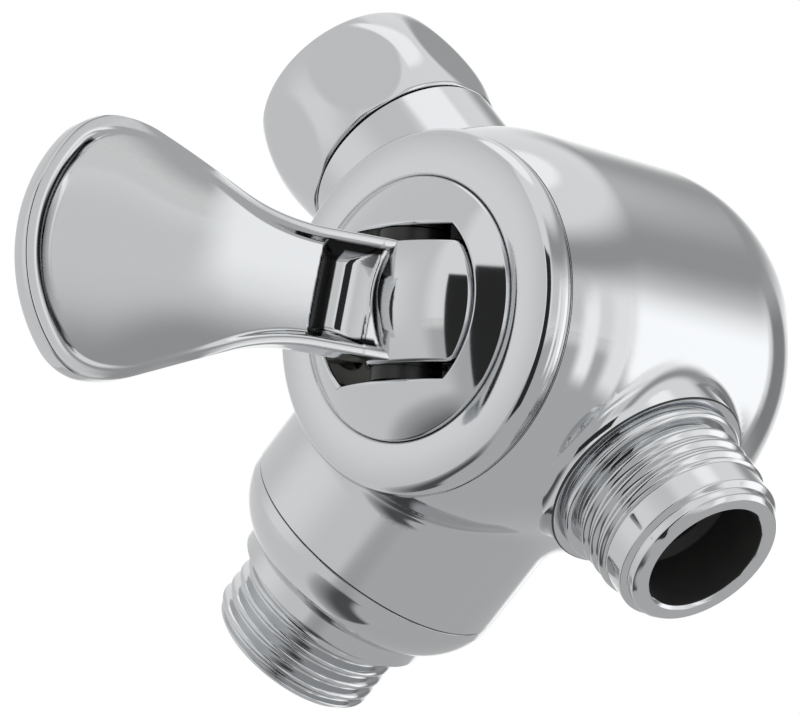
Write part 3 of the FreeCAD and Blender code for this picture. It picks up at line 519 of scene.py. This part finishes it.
# Hose outlet nipple: flange between two grooves, a worn thread, a plain band and the lip
hoseNipple = {
    "inlet": 6.0, "root": 18.6, "inletEnd": 28.5, "shank": 8.45, "seat": 23.8, "neck": 10.7, "neckEnd": 24.25,
    "flange": 11.2, "flangeStart": 24.4, "flangeEnd": 25.1, "flangeTip": 10.9, "flangeTipEnd": 25.4,
    "relief": 9.7, "reliefStart": 25.5, "reliefEnd": 26.1, "thread": pipeThread["crest"], "threadStart": 26.6,
    "threadEnd": 31.7, "cutStart": 26.2, "cutEnd": 31.9, "depth": 0.62, "band": 10.05, "bandStart": 31.95,
    "bandEnd": 34.9, "lip": 9.3, "lipStart": 35.35, "lipEnd": 36.35, "mouthOuter": 8.8, "mouthInner": 7.5,
    "end": 36.9, "bore": 7.1, "boreStart": 29.5, "boreEnd": 36.5, "darkFrom": 0.3,
    "edgeSoft": 0.1, "rowStep": 0.13, "segments": 240,
}
outline = profilePoints(
    hoseNipple, "inlet root", "shank root", "shank seat", "neck seat", "neck neckEnd", "flange flangeStart",
    "flange flangeEnd", "flangeTip flangeTipEnd", "relief reliefStart", "relief reliefEnd",
    "thread threadStart", "thread threadEnd", "band bandStart", "band bandEnd", "lip lipStart", "lip lipEnd",
    "mouthOuter end", "mouthInner end", "bore boreEnd", "bore boreStart", "inlet inletEnd")
hoseThread = maleThread(hoseNipple["cutStart"], hoseNipple["cutEnd"], hoseNipple["depth"])
nipple = turnedPiece("hose_nipple", outline, hoseNipple, hoseThread, valveCentre, hoseAxes, chromePlate,
                     chromeSlot, "valve", "hose_outlet_nipple")
paintBoreShade(nipple.data, valveCentre, hoseAxes, hoseNipple["bore"] + boreMargin,
           hoseNipple["end"] - hoseNipple["darkFrom"])
print("nipples turned")

# Swivel nut: six soft flats on a slightly barrelled body, with a female thread
nutForm = {
    "halfFlats": 12.0, "flatSoft": 0.35, "turn": 6.0, "start": 32.2, "mouth": 46.4,
    "footIn": 11.9, "foot": 12.2, "footEnd": 32.45, "barrel": 22.5, "rim": 11.78, "rimStart": 46.1,
    "rimIn": 11.43, "lip": 8.08, "lipEnd": 34.85, "relief": 9.95, "reliefEnd": 39.6, "leadIn": 10.0,
    "thread": 9.5, "threadStart": 39.9, "threadEnd": 45.9, "cutEnd": 46.3, "depth": 1.0, "outerFrom": 10.6,
    "innerTo": 9.8, "edgeSoft": 0.09, "rowStep": 0.26, "segments": 360,
}
outline = profilePoints(nutForm, "lip start", "footIn start", "foot footEnd")
outline += arcPoints(outline[-1], profilePoints(nutForm, "rim rimStart")[0], nutForm["barrel"], 20)
outline += profilePoints(nutForm, "rimIn mouth", "leadIn mouth", "thread threadEnd", "thread threadStart",
                         "relief reliefEnd", "relief lipEnd", "lip lipEnd")


def nutReshape(radius, length, turn):
    sixth = math.pi / 3.0
    offset = (turn - math.radians(nutForm["turn"])) % sixth - sixth / 2.0
    flat = nutForm["halfFlats"] / np.cos(offset)
    near = np.maximum(nutForm["flatSoft"] - np.abs(radius - flat), 0.0) / nutForm["flatSoft"]
    soft = np.minimum(radius, flat) - near * near * nutForm["flatSoft"] / 4.0
    outside = radius > nutForm["outerFrom"]
    inside = (length > nutForm["threadStart"]) & (length < nutForm["cutEnd"]) & (radius < nutForm["innerTo"])
    fade = np.clip((length - nutForm["threadStart"]) / pipeThread["runIn"], 0.0, 1.0)
    groove = radius + nutForm["depth"] * (1.0 - threadRidge(length, turn, nutForm["threadStart"])) * fade
    return np.where(outside, soft, np.where(inside, groove, radius))


turnedPiece("hexagon_nut", outline, nutForm, nutReshape, valveCentre, inletAxes, chromePlate, chromeSlot,
            "nut", "swivel_nut")
washer = {"hole": 5.4, "radius": 9.1, "start": 37.0, "end": 39.6, "edgeSoft": 0.12, "segments": 128}
outline = profilePoints(washer, "hole start", "radius start", "radius end", "hole end")
lathePiece("fibre_washer", outline, washer, valveCentre, inletAxes, nitrile, "nitrile_rubber", "valve",
           "inlet_washer")
print("nut made")

# Domed cover: part of a sphere with a double-D slot
cover = {
    "top": 28.43, "dome": 23.1, "rim": 14.98, "rimEdge": 0.42, "flange": 15.5, "flangeTop": 21.4,
    "foot": 16.4, "slot": 11.5, "slotHalf": 8.6, "edge": 0.5,
    "arcSteps": 60, "flatSteps": 72, "wallRows": 6, "domeRows": 20,
}
domeCentre = cover["top"] - cover["dome"]
corner = math.asin(cover["slotHalf"] / cover["slot"])
corners = [-corner, corner, math.pi - corner, math.pi + corner, 2.0 * math.pi - corner]
steps = [cover["arcSteps"], cover["flatSteps"]] * 2
sweep = np.concatenate([np.linspace(corners[k], corners[k + 1], steps[k]) for k in range(4)])
onArc = np.repeat([True, False, True, False], steps)


def slotReach(extra):
    return np.where(onArc, cover["slot"] + extra,
                    (cover["slotHalf"] + extra) / np.maximum(np.abs(np.sin(sweep)), 1e-6))


def domeHeight(reach):
    return domeCentre + np.sqrt(cover["dome"] ** 2 - reach ** 2)


outwardSpoke = np.column_stack([np.cos(sweep), np.sin(sweep), 0.0 * sweep])
wallNormal = np.where(onArc[:, None], -outwardSpoke,
                      np.column_stack([0.0 * sweep, -np.sign(np.sin(sweep)), 0.0 * sweep]))
upNormal = np.array([0.0, 0.0, 1.0])
rows = []


def domeNormal(reach):
    rise = domeHeight(reach) - domeCentre
    return (outwardSpoke * reach[:, None] + upNormal * rise[:, None]) / cover["dome"]


def coverRow(reach, height, normal):
    reach = np.broadcast_to(reach, sweep.shape)
    height = np.broadcast_to(height, sweep.shape)
    spots = np.column_stack([reach * np.cos(sweep), reach * np.sin(sweep), height])
    rows.append((spots, np.broadcast_to(normal, spots.shape)))


inner = slotReach(cover["edge"])
edgeTop = domeHeight(inner)
wallHeight = edgeTop - cover["edge"] - cover["foot"]
for share in np.linspace(0.0, 1.0, cover["wallRows"] + 1):
    coverRow(slotReach(0.0), cover["foot"] + wallHeight * share, wallNormal)
for bend in np.radians(np.linspace(0.0, 90.0, cover["wallRows"] + 1)[1:-1]):
    mixed = wallNormal * math.cos(bend) + domeNormal(inner) * math.sin(bend)
    mixed /= np.linalg.norm(mixed, axis=1)[:, None]
    reach = slotReach(cover["edge"] * (1.0 - math.cos(bend)))
    coverRow(reach, edgeTop - cover["edge"] * (1.0 - math.sin(bend)), mixed)
rimStart = cover["rim"] - cover["rimEdge"]
for share in np.linspace(0.0, 1.0, cover["domeRows"] + 1):
    reach = inner + (rimStart - inner) * share
    coverRow(reach, domeHeight(reach), domeNormal(reach))
rimLean = rimStart / cover["dome"]
rimBottom = domeHeight(rimStart) - cover["rimEdge"]
for bend in np.radians(np.linspace(0.0, 90.0, 6)[1:]):
    tipped = outwardSpoke * (rimLean + (1.0 - rimLean) * math.sin(bend)) + upNormal * math.cos(bend)
    tipped /= np.linalg.norm(tipped, axis=1)[:, None]
    coverRow(cover["rim"] - cover["rimEdge"] * (1.0 - math.sin(bend)),
             rimBottom + cover["rimEdge"] * math.cos(bend), tipped)
for reach, height, normal in ((cover["rim"], cover["flangeTop"], outwardSpoke),
                              (cover["rim"], cover["flangeTop"], upNormal),
                              (cover["flange"], cover["flangeTop"], upNormal),
                              (cover["flange"], cover["flangeTop"], outwardSpoke),
                              (cover["flange"], cover["foot"], outwardSpoke),
                              (cover["flange"], cover["foot"], -upNormal),
                              (slotReach(0.0), cover["foot"], -upNormal)):
    coverRow(reach, height, normal)
spots = np.vstack([r[0] for r in rows])
leans = np.vstack([r[1] for r in rows])
faces = [face[::-1] for face in gridFaces(len(rows), len(sweep), False, True)]
coverMesh = meshFrom("cover_dome", rowPoints(spots, valveCentre, leverAxes), faces, leans @ leverAxes)
finishPiece("cover_dome", coverMesh, chromePlate, chromeSlot, "valve", "domed_cover")
print("cover made")

# Lever: a paddle with a bead round a dished face, and a trough and a ridge between the dish and the hub
paddle = {
    "tilt": 20.0, "rise": 1.9, "pivot": 22.5, "root": 3.2, "length": 47.8,  # place, degrees and mm
    "neckHalf": 6.75, "flareStart": 12.6, "flareAngle": 23.0, "flareCurve": 25.7,  # outline
    "cheekAt": 33.6, "cheekCurve": 12.4, "endCurve": 19.2,
    "faceRoot": 3.3, "faceTip": 2.0, "backRoot": -3.0, "backTip": -1.7, "backEdge": 1.3,  # front and back
    "bead": 1.15, "neckBead": 0.65, "beadFrom": 26.0, "beadRun": 13.0, "wallAngle": 65.0, "edgePower": 6.0,
    "panStart": 12.6, "panSkew": 0.1, "neckDepth": 1.6, "neckSlope": 0.012, "neckBow": 0.014,  # dish
    "bendAt": 27.5, "bendSoft": 5.0, "tipSlope": -0.085, "tipBow": 0.009,
    "troughLift": 2.8, "troughCurve": 3.2, "panSoft": 0.12, "crestSoft": 0.5, "farAbove": 9.0,
    "ridgeTop": 2.75, "ridgeAt": 6.1, "ridgeBow": 0.05, "ridgeSlope": 1.5, "ridgeSoft": 1.2,
}
leverCentre = valveCentre + leverAxes[2] * paddle["pivot"]
leverTurn = math.radians(270.0 - paddle["tilt"])
paddleAxes = np.array([[math.cos(leverTurn), math.sin(leverTurn), 0.0],
                       [-math.sin(leverTurn), math.cos(leverTurn), 0.0], [0.0, 0.0, 1.0]])


def arcSweep(centre, radius, first, last, count):
    steps = np.linspace(first, last, count + 1)[1:]
    return [(centre[0] + radius * math.cos(t), centre[1] + radius * math.sin(t)) for t in steps]


def paddleOutline():
    angle = math.radians(paddle["flareAngle"])
    flareCentre = np.array([paddle["flareStart"], paddle["neckHalf"] + paddle["flareCurve"]])
    alongFlare = np.array([math.cos(angle), math.sin(angle)])
    acrossFlare = np.array([-math.sin(angle), math.cos(angle)])
    flareEnd = flareCentre - acrossFlare * paddle["flareCurve"]
    cheekStart = flareEnd + alongFlare * ((paddle["cheekAt"] - flareEnd[0]) / alongFlare[0])
    cheekCentre = cheekStart - acrossFlare * paddle["cheekCurve"]
    endCentre = np.array([paddle["length"] - paddle["endCurve"], 0.0])
    top = cheekCentre[1] + paddle["cheekCurve"]
    step = cheekCentre[0] - endCentre[0]
    endCurve = paddle["endCurve"]
    cornerCurve = (endCurve ** 2 - step ** 2 - top ** 2) / (2.0 * (endCurve - top))
    cornerCentre = np.array([cheekCentre[0], top - cornerCurve])
    endAngle = math.atan2(*(cornerCentre - endCentre)[::-1])
    half = [(x, paddle["neckHalf"]) for x in np.linspace(paddle["root"], paddle["flareStart"], 80)]
    half += arcSweep(flareCentre, paddle["flareCurve"], -math.pi / 2.0, angle - math.pi / 2.0, 70)
    half += [tuple(flareEnd + (cheekStart - flareEnd) * t) for t in np.linspace(0.0, 1.0, 24)[1:]]
    half += arcSweep(cheekCentre, paddle["cheekCurve"], angle + math.pi / 2.0, math.pi / 2.0, 10)
    half += arcSweep(cornerCentre, cornerCurve, math.pi / 2.0, endAngle, 24)
    half += arcSweep(endCentre, endCurve, endAngle, 0.0, 22)
    return half + [(x, -z) for x, z in half[-2::-1]], endCentre[0]


rimLine, fanAt = paddleOutline()
rimLine = np.array(rimLine)
spine = np.column_stack([np.minimum(rimLine[:, 0], fanAt), 0.0 * rimLine[:, 0]])
# rows from the rim inwards, closer where the bead turns; the first backRows of them also serve the back
inset = np.array([0.0, 0.04, 0.1, 0.18, 0.3, 0.46, 0.64, 0.84, 1.06, 1.3, 1.5, 1.68, 1.84, 2.0, 2.16, 2.34,
                  2.6, 2.95])
backRows = 12
inward = spine - rimLine
span = np.hypot(inward[:, 0], inward[:, 1])
inward /= span[:, None]


def easeMax(a, b, soft):
    near = np.maximum(soft - np.abs(a - b), 0.0) / soft
    return np.maximum(a, b) + near * near * soft / 4.0


def easeMin(a, b, soft):
    return -easeMax(-a, -b, soft)


def rimHeight(x):
    return paddle["faceRoot"] + (paddle["faceTip"] - paddle["faceRoot"]) * x / paddle["length"]


panFoot = rimHeight(paddle["panStart"]) - paddle["neckDepth"]
troughAt = paddle["panStart"] - math.sqrt(paddle["troughCurve"] ** 2 - (paddle["troughLift"] - panFoot) ** 2)


def smoothStep(share):
    share = np.clip(share, 0.0, 1.0)
    return share * share * (3.0 - 2.0 * share)


def faceHeight(x, z, d):
    tipShare = smoothStep((x - paddle["beadFrom"]) / paddle["beadRun"])
    bead = paddle["neckBead"] + (paddle["bead"] - paddle["neckBead"]) * tipShare
    edge = paddle["panStart"] - paddle["panSkew"] * z
    lean = math.radians(paddle["wallAngle"])
    wallStart = bead * (1.0 + math.sin(lean))
    outer = np.clip(1.0 - d / bead, 0.0, 1.0) ** paddle["edgePower"]
    inner = np.maximum(np.minimum(d, wallStart) - bead, 0.0)
    crest = bead * (1.0 - outer) ** (1.0 / paddle["edgePower"]) - 2.0 * bead + np.sqrt(bead ** 2 - inner ** 2)
    crest = crest - math.tan(lean) * np.maximum(d - wallStart, 0.0) + rimHeight(x)
    bend = easeMax(x - paddle["bendAt"], 0.0 * x, paddle["bendSoft"])
    pan = panFoot + paddle["neckSlope"] * (x - paddle["panStart"])
    pan = pan - (paddle["neckSlope"] - paddle["tipSlope"]) * bend
    pan = pan + (paddle["neckBow"] + (paddle["tipBow"] - paddle["neckBow"]) * tipShare) * z * z
    beside = x - troughAt + paddle["panSkew"] * z
    depth = np.sqrt(np.maximum(paddle["troughCurve"] ** 2 - beside ** 2, 0.0))
    ridge = paddle["ridgeAt"] - paddle["ridgeBow"] * z * z
    ridgeTop = paddle["ridgeTop"] - paddle["ridgeSlope"] * (ridge - x)
    bottom = paddle["troughLift"] - paddle["troughCurve"]
    nearWall = bottom + (paddle["ridgeTop"] - bottom) * (beside / (troughAt - paddle["ridgeAt"])) ** 2
    nearWall = np.minimum(easeMin(nearWall, ridgeTop, paddle["ridgeSoft"]), paddle["ridgeTop"])
    trough = np.where(beside > 0.0, paddle["troughLift"] - depth, nearWall)
    farSide = np.where(x > edge, paddle["farAbove"], trough)
    floor = np.where(beside > 0.0, easeMin(farSide, pan, paddle["panSoft"]), trough)
    return easeMax(crest, floor, paddle["crestSoft"])


def backHeight(x, z, d):
    share = x / paddle["length"]
    low = paddle["backRoot"] + (paddle["backTip"] - paddle["backRoot"]) * share
    edge = paddle["backEdge"]
    lift = edge - np.sqrt(np.maximum(edge ** 2 - (edge - np.minimum(d, edge)) ** 2, 0.0))
    return low + lift


layers = []
innerShares = np.linspace(0.0, 1.0, 16)[1:]


def insetRow(d, height):
    spots = rimLine + inward * d[:, None]
    layers.append(np.column_stack([spots[:, 0], height(spots[:, 0], spots[:, 1], d), spots[:, 1]]))


for share in innerShares[::-1]:
    insetRow(inset[-1] + (span - inset[-1]) * share, faceHeight)
for d in inset[::-1]:
    insetRow(np.full(len(rimLine), d), faceHeight)
zero = np.zeros(len(rimLine))
upper = faceHeight(rimLine[:, 0], rimLine[:, 1], zero)
lower = backHeight(rimLine[:, 0], rimLine[:, 1], zero)
for share in (0.33, 0.67):
    layers.append(np.column_stack([rimLine[:, 0], upper + (lower - upper) * share, rimLine[:, 1]]))
for d in inset[:backRows]:
    insetRow(np.full(len(rimLine), d), backHeight)
for share in innerShares:
    insetRow(inset[backRows - 1] + (span - inset[backRows - 1]) * share, backHeight)
grid = np.array(layers)
faces = gridFaces(grid.shape[0], grid.shape[1], False, False)
rise = math.radians(paddle["rise"])
raised = np.array([[math.cos(rise), 0.0, math.sin(rise)], [0.0, 1.0, 0.0],
                   [-math.sin(rise), 0.0, math.cos(rise)]])
bladeMesh = meshFrom("lever_paddle", rowPoints(grid @ raised, leverCentre, paddleAxes), faces)
blade = bmesh.new()
blade.from_mesh(bladeMesh)
bmesh.ops.remove_doubles(blade, verts=blade.verts[:], dist=2e-6)
bmesh.ops.dissolve_degenerate(blade, edges=blade.edges[:], dist=1e-7)
bmesh.ops.holes_fill(blade, edges=[e for e in blade.edges if e.is_boundary])
bmesh.ops.recalc_face_normals(blade, faces=blade.faces[:])
blade.to_mesh(bladeMesh)
blade.free()
for polygon in bladeMesh.polygons:
    polygon.use_smooth = True
# painted shade: the crease inside the tip's rim, the trough's far and end walls
# and the groove at the hub are coloured dark through the crease attribute
spots = np.zeros(len(bladeMesh.vertices) * 3)
bladeMesh.vertices.foreach_get("co", spots)
local = (spots.reshape(-1, 3) * 1000.0 - leverCentre) @ paddleAxes.T @ raised.T
toRim = np.full(len(local), 1e3)
for spot in rimLine:
    toRim = np.minimum(toRim, np.hypot(local[:, 0] - spot[0], local[:, 2] - spot[1]))


def fadeIn(amount, soft):
    return smoothStep(amount / soft + 0.5)


# where and how wide the painted shade lies
paintedShadeForm = {
    "tipFrom": 39.0, "tipHalf": 11.6, "middle": 2.2, "half": 0.8, "soft": 0.2, "troughHalf": 5.4,
    "wallFrom": 4.75, "wallEnd": 5.6, "wallGap": 0.5, "ridgeGap": 0.1, "deepest": -1.0,
}
taper = np.sqrt(np.maximum(1.0 - (local[:, 2] / paintedShadeForm["tipHalf"]) ** 2, 0.0))
tipPaintedShade = fadeIn(paintedShadeForm["half"] * taper - np.abs(toRim - paintedShadeForm["middle"]), paintedShadeForm["soft"])
tipPaintedShade = tipPaintedShade * (local[:, 0] > paintedShadeForm["tipFrom"]) * (taper > 0.0)
edge = paddle["panStart"] - paddle["panSkew"] * local[:, 2]
deepest = troughAt - paddle["panSkew"] * local[:, 2]
ridge = paddle["ridgeAt"] - paddle["ridgeBow"] * local[:, 2] ** 2
beside = np.abs(local[:, 2])
beforePan = fadeIn(edge - local[:, 0], paintedShadeForm["soft"])
inTrough = beforePan * fadeIn(paintedShadeForm["troughHalf"] - beside, paintedShadeForm["soft"])
farWallPaintedShade = inTrough * fadeIn(local[:, 0] - deepest, paintedShadeForm["soft"])
endWallPaintedShade = beforePan * fadeIn(local[:, 0] - ridge - paintedShadeForm["wallGap"], paintedShadeForm["soft"])
endWallPaintedShade = endWallPaintedShade * fadeIn(beside - paintedShadeForm["wallFrom"], paintedShadeForm["soft"])
endWallPaintedShade = endWallPaintedShade * fadeIn(paintedShadeForm["wallEnd"] - beside, paintedShadeForm["soft"])
groove = inTrough * fadeIn(ridge - paintedShadeForm["ridgeGap"] - local[:, 0], paintedShadeForm["soft"])
# the four masks together are the painted shade written into the crease attribute
dark = np.maximum.reduce([tipPaintedShade, farWallPaintedShade, endWallPaintedShade, groove]) * (local[:, 1] > paintedShadeForm["deepest"])
bladeMesh.attributes.new("crease", "FLOAT", "POINT").data.foreach_set("value", dark.astype(np.float32))
finishPiece("lever_paddle", bladeMesh, chromePlate, chromeSlot, "lever", "lever_handle")

# Hub: a round core on the pin and a ball-shaped crown that fills the slot
hubCore = {"bore": 1.55, "radius": 4.6, "foot": -6.9, "top": 6.9, "edgeSoft": 0.2, "segments": 96}
outline = profilePoints(hubCore, "bore foot", "radius foot", "radius top", "bore top")
lathePiece("hub_core", outline, hubCore, leverCentre, paddleAxes, chromePlate, chromeSlot, "lever")
# the pin's ends stop under the dome, because the photo shows no sign of them
hingePin = {"radius": 0.0015, "length": 0.0266, "chamfer": 0.0003}  # metres
pinMesh = bpy.data.meshes.new("hinge_pin")
pin = bmesh.new()
bmesh.ops.create_cone(pin, cap_ends=True, segments=64, radius1=hingePin["radius"], radius2=hingePin["radius"],
                      depth=hingePin["length"], matrix=Matrix.Translation(Vector(leverCentre) * 0.001))
pinEnds = [e for e in pin.edges if e.calc_face_angle(0.0) > 1.0]
bmesh.ops.bevel(pin, geom=pinEnds, offset=hingePin["chamfer"], segments=2, affect="EDGES")
pin.to_mesh(pinMesh)
pin.free()
finishPiece("hinge_pin", pinMesh, groundSteel, "stainless_steel", "valve", "pivot_pin")
crown = {
    "place": 11.6, "radius": 17.0, "reach": 11.1, "half": 6.97, "left": -2.2, "edge": 0.5, "foot": 22.9,
    "middle": (3.0, 0.0), "soft": 0.45, "step": 0.4,
}
crownSide = math.sqrt(crown["reach"] ** 2 - crown["half"] ** 2)
outline = [(crown["left"], -crown["half"]), (crownSide, -crown["half"])]
outline += arcPoints(outline[-1], (crownSide, crown["half"]), crown["reach"], 30)
outline += [(crown["left"], crown["half"])]
crownLoop, crownOut = softLoop(outline, crown["soft"], crown["step"])
rows = []


def crownRow(plan, drop, outwardShare):
    height = np.sqrt(crown["radius"] ** 2 - plan[:, 0] ** 2 - plan[:, 1] ** 2)
    ball = np.column_stack([plan, height]) / crown["radius"]
    flat = np.column_stack([crownOut, 0.0 * height])
    lean = flat * outwardShare + ball * math.sqrt(1.0 - outwardShare ** 2)
    lean /= np.linalg.norm(lean, axis=1)[:, None]
    rows.append((np.column_stack([plan, height + crown["place"] - drop]), lean))


footPlan = np.column_stack([crownLoop, np.full(len(crownLoop), crown["foot"])])
rows.append((footPlan, np.column_stack([crownOut, 0.0 * crownOut[:, 0]])))
for share in (0.0, 0.04, 0.12, 0.25, 0.42, 0.62, 0.82, 1.0):
    facing = 1.0 - share
    drop = crown["edge"] * (1.0 - math.sqrt(1.0 - facing ** 2))
    crownRow(crownLoop - crownOut * crown["edge"] * share, drop, facing)
innerLoop = crownLoop - crownOut * crown["edge"]
crownMiddle = np.array(crown["middle"])
for share in np.linspace(1.0, 0.0, 18)[1:]:
    crownRow(crownMiddle + (innerLoop - crownMiddle) * share, 0.0, 0.0)
spots = np.vstack([r[0] for r in rows])
leans = np.vstack([r[1] for r in rows])
faces = gridFaces(len(rows), len(crownLoop), False, True)
crownMesh = meshFrom("hub_crown", rowPoints(spots, valveCentre, leverAxes), faces, leans @ leverAxes)
finishPiece("hub_crown", crownMesh, chromePlate, chromeSlot, "lever")
print("lever made")

# Pieces kept as they are in the CAD
cadFinish = {
    turnedBrass: ["inlet_tailpiece"],
    groundSteel: ["locating_pins", "drive_stem", "filter_screen"],
    nitrile: ["bonnet_seal", "port_gasket", "shower_nipple_seal", "hose_nipple_seal", "tailpiece_seal"],
    alumina: ["port_disc", "slide_disc"],
    acetal: ["slide_guide", "slide_carrier", "upper_hub_washer", "lower_hub_washer"],
}
for material, names in cadFinish.items():
    for name in names:
        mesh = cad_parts[name].data
        mesh.materials.clear()
        mesh.materials.append(material)
print("CAD pieces finished")

# Studio: white all round, a pale floor well below and soft panels that show only in the reflections
scene = bpy.context.scene
scene.view_settings.view_transform = "Standard"
world = bpy.data.worlds.new("white_studio")
scene.world = world
world.use_nodes = True
world.node_tree.nodes["Background"].inputs["Color"].default_value = (1.0, 1.0, 1.0, 1.0)
world.node_tree.nodes["Background"].inputs["Strength"].default_value = 1.0
floorForm = {"height": -0.72, "radius": 8.0, "colour": "F0F0EE"}  # metres
floorMesh = bpy.data.meshes.new("studio_floor")
disc = bmesh.new()
bmesh.ops.create_circle(disc, cap_ends=True, segments=96, radius=floorForm["radius"],
                        matrix=Matrix.Translation((0.0, 0.0, floorForm["height"])))
disc.to_mesh(floorMesh)
disc.free()
floorMaterial, tree, shader = newMaterial("pale_studio_floor")
shader.inputs["Base Color"].default_value = hexColour(floorForm["colour"])
shader.inputs["Roughness"].default_value = 0.9
floorMesh.materials.append(floorMaterial)
floorObject = bpy.data.objects.new("studio_floor", floorMesh)
scene.collection.objects.link(floorObject)


def softPanel(name, azimuths, elevations, level, soft, reach):
    # part of a sphere round the valve; azimuth runs from the front to the right
    # level 1 is the white of the world, and reach is in metres
    count = 24
    across = np.radians(np.linspace(*azimuths, count))
    upright = np.radians(np.linspace(*elevations, count))
    turn, rise = np.meshgrid(across, upright)
    flat = np.cos(rise)
    spots = np.stack([np.sin(turn) * flat, -np.cos(turn) * flat, np.sin(rise)], axis=2) * reach
    mesh = meshFrom(name, spots.reshape(-1, 3) + valveCentre * 0.001, gridFaces(count, count, False, False))
    layer = mesh.uv_layers.new(name="panel")
    for loop in mesh.loops:
        row, column = divmod(loop.vertex_index, count)
        layer.data[loop.index].uv = (column / (count - 1.0), row / (count - 1.0))
    material = bpy.data.materials.new(name)
    material.use_nodes = True
    tree = material.node_tree
    tree.nodes.clear()
    place = addNode(tree, "ShaderNodeTexCoord")
    split = addNode(tree, "ShaderNodeSeparateXYZ", Vector=place.outputs["UV"])
    shown = None
    sides = (("X", 0.0, soft[0]), ("X", 1.0, 1.0 - soft[1]),
             ("Y", 0.0, soft[2]), ("Y", 1.0, 1.0 - soft[3]))
    for axis, low, high in sides:
        if low == high:
            continue
        fade = addNode(tree, "ShaderNodeMapRange", {
            "interpolation_type": "SMOOTHSTEP", "From Min": low, "From Max": high,
        }, Value=split.outputs[axis])
        if shown is None:
            shown = fade.outputs["Result"]
            continue
        both = addNode(tree, "ShaderNodeMath", {"operation": "MULTIPLY"})
        tree.links.new(shown, both.inputs[0])
        tree.links.new(fade.outputs["Result"], both.inputs[1])
        shown = both.outputs[0]
    clear = addNode(tree, "ShaderNodeBsdfTransparent")
    glow = addNode(tree, "ShaderNodeEmission", {"Color": (level, level, level, 1.0), "Strength": 1.0})
    mix = addNode(tree, "ShaderNodeMixShader", Fac=shown)
    tree.links.new(clear.outputs[0], mix.inputs[1])
    tree.links.new(glow.outputs[0], mix.inputs[2])
    addNode(tree, "ShaderNodeOutputMaterial", Surface=mix.outputs[0])
    mesh.materials.append(material)
    panel = bpy.data.objects.new(name, mesh)
    scene.collection.objects.link(panel)
    panel.visible_camera = False
    panel.visible_diffuse = False
    panel.visible_shadow = False


# name, azimuths, elevations, level, soft share at the left, right, foot and top
# a later panel is nearer and covers the earlier ones
panels = [
    ("floor_grey", (-180.0, 180.0), (-90.0, -8.0), 0.56, (0.0, 0.0, 0.0, 0.08)),
    ("front_grey", (-125.0, 12.0), (-44.0, 84.0), 0.78, (0.1, 0.1, 0.06, 0.1)),
    ("front_light", (-78.0, 4.0), (-24.0, 46.0), 0.96, (0.4, 0.4, 0.4, 0.4)),
    ("side_grey", (50.0, 95.0), (-10.0, 26.0), 0.82, (0.15, 0.1, 0.4, 0.3)),
    ("strip_light", (84.0, 102.0), (-34.0, 24.0), 1.28, (0.45, 0.28, 0.2, 0.35)),
    ("side_light", (106.0, 130.0), (-34.0, 24.0), 1.15, (0.4, 0.2, 0.2, 0.25)),
    ("high_band", (40.0, 225.0), (14.0, 54.0), 0.42, (0.1, 0.1, 0.45, 0.45)),
    ("bright_box", (122.0, 154.0), (-26.0, 22.0), 1.5, (0.5, 0.15, 0.3, 0.3)),
    ("dark_strip", (154.0, 182.0), (-30.0, 34.0), 0.3, (0.2, 0.25, 0.3, 0.3)),
    ("bright_edge", (182.0, 214.0), (-14.0, 20.0), 1.5, (0.25, 0.3, 0.3, 0.3)),
    ("top_box", (-180.0, 180.0), (69.0, 89.0), 1.3, (0.0, 0.0, 0.3, 0.0)),
    ("low_band", (-104.0, 24.0), (-72.0, -38.0), 0.1, (0.03, 0.25, 0.2, 0.6)),
    ("low_back", (-195.0, -104.0), (-76.0, -12.0), 0.55, (0.2, 0.03, 0.1, 0.3)),
    ("black_flag", (18.0, 43.0), (-42.0, 28.0), 0.03, (0.03, 0.03, 0.03, 0.03)),
]
farPanel = 0.6
panelGap = 0.01
for number, panel in enumerate(panels):
    softPanel(*panel, farPanel - panelGap * number)
print("studio built")
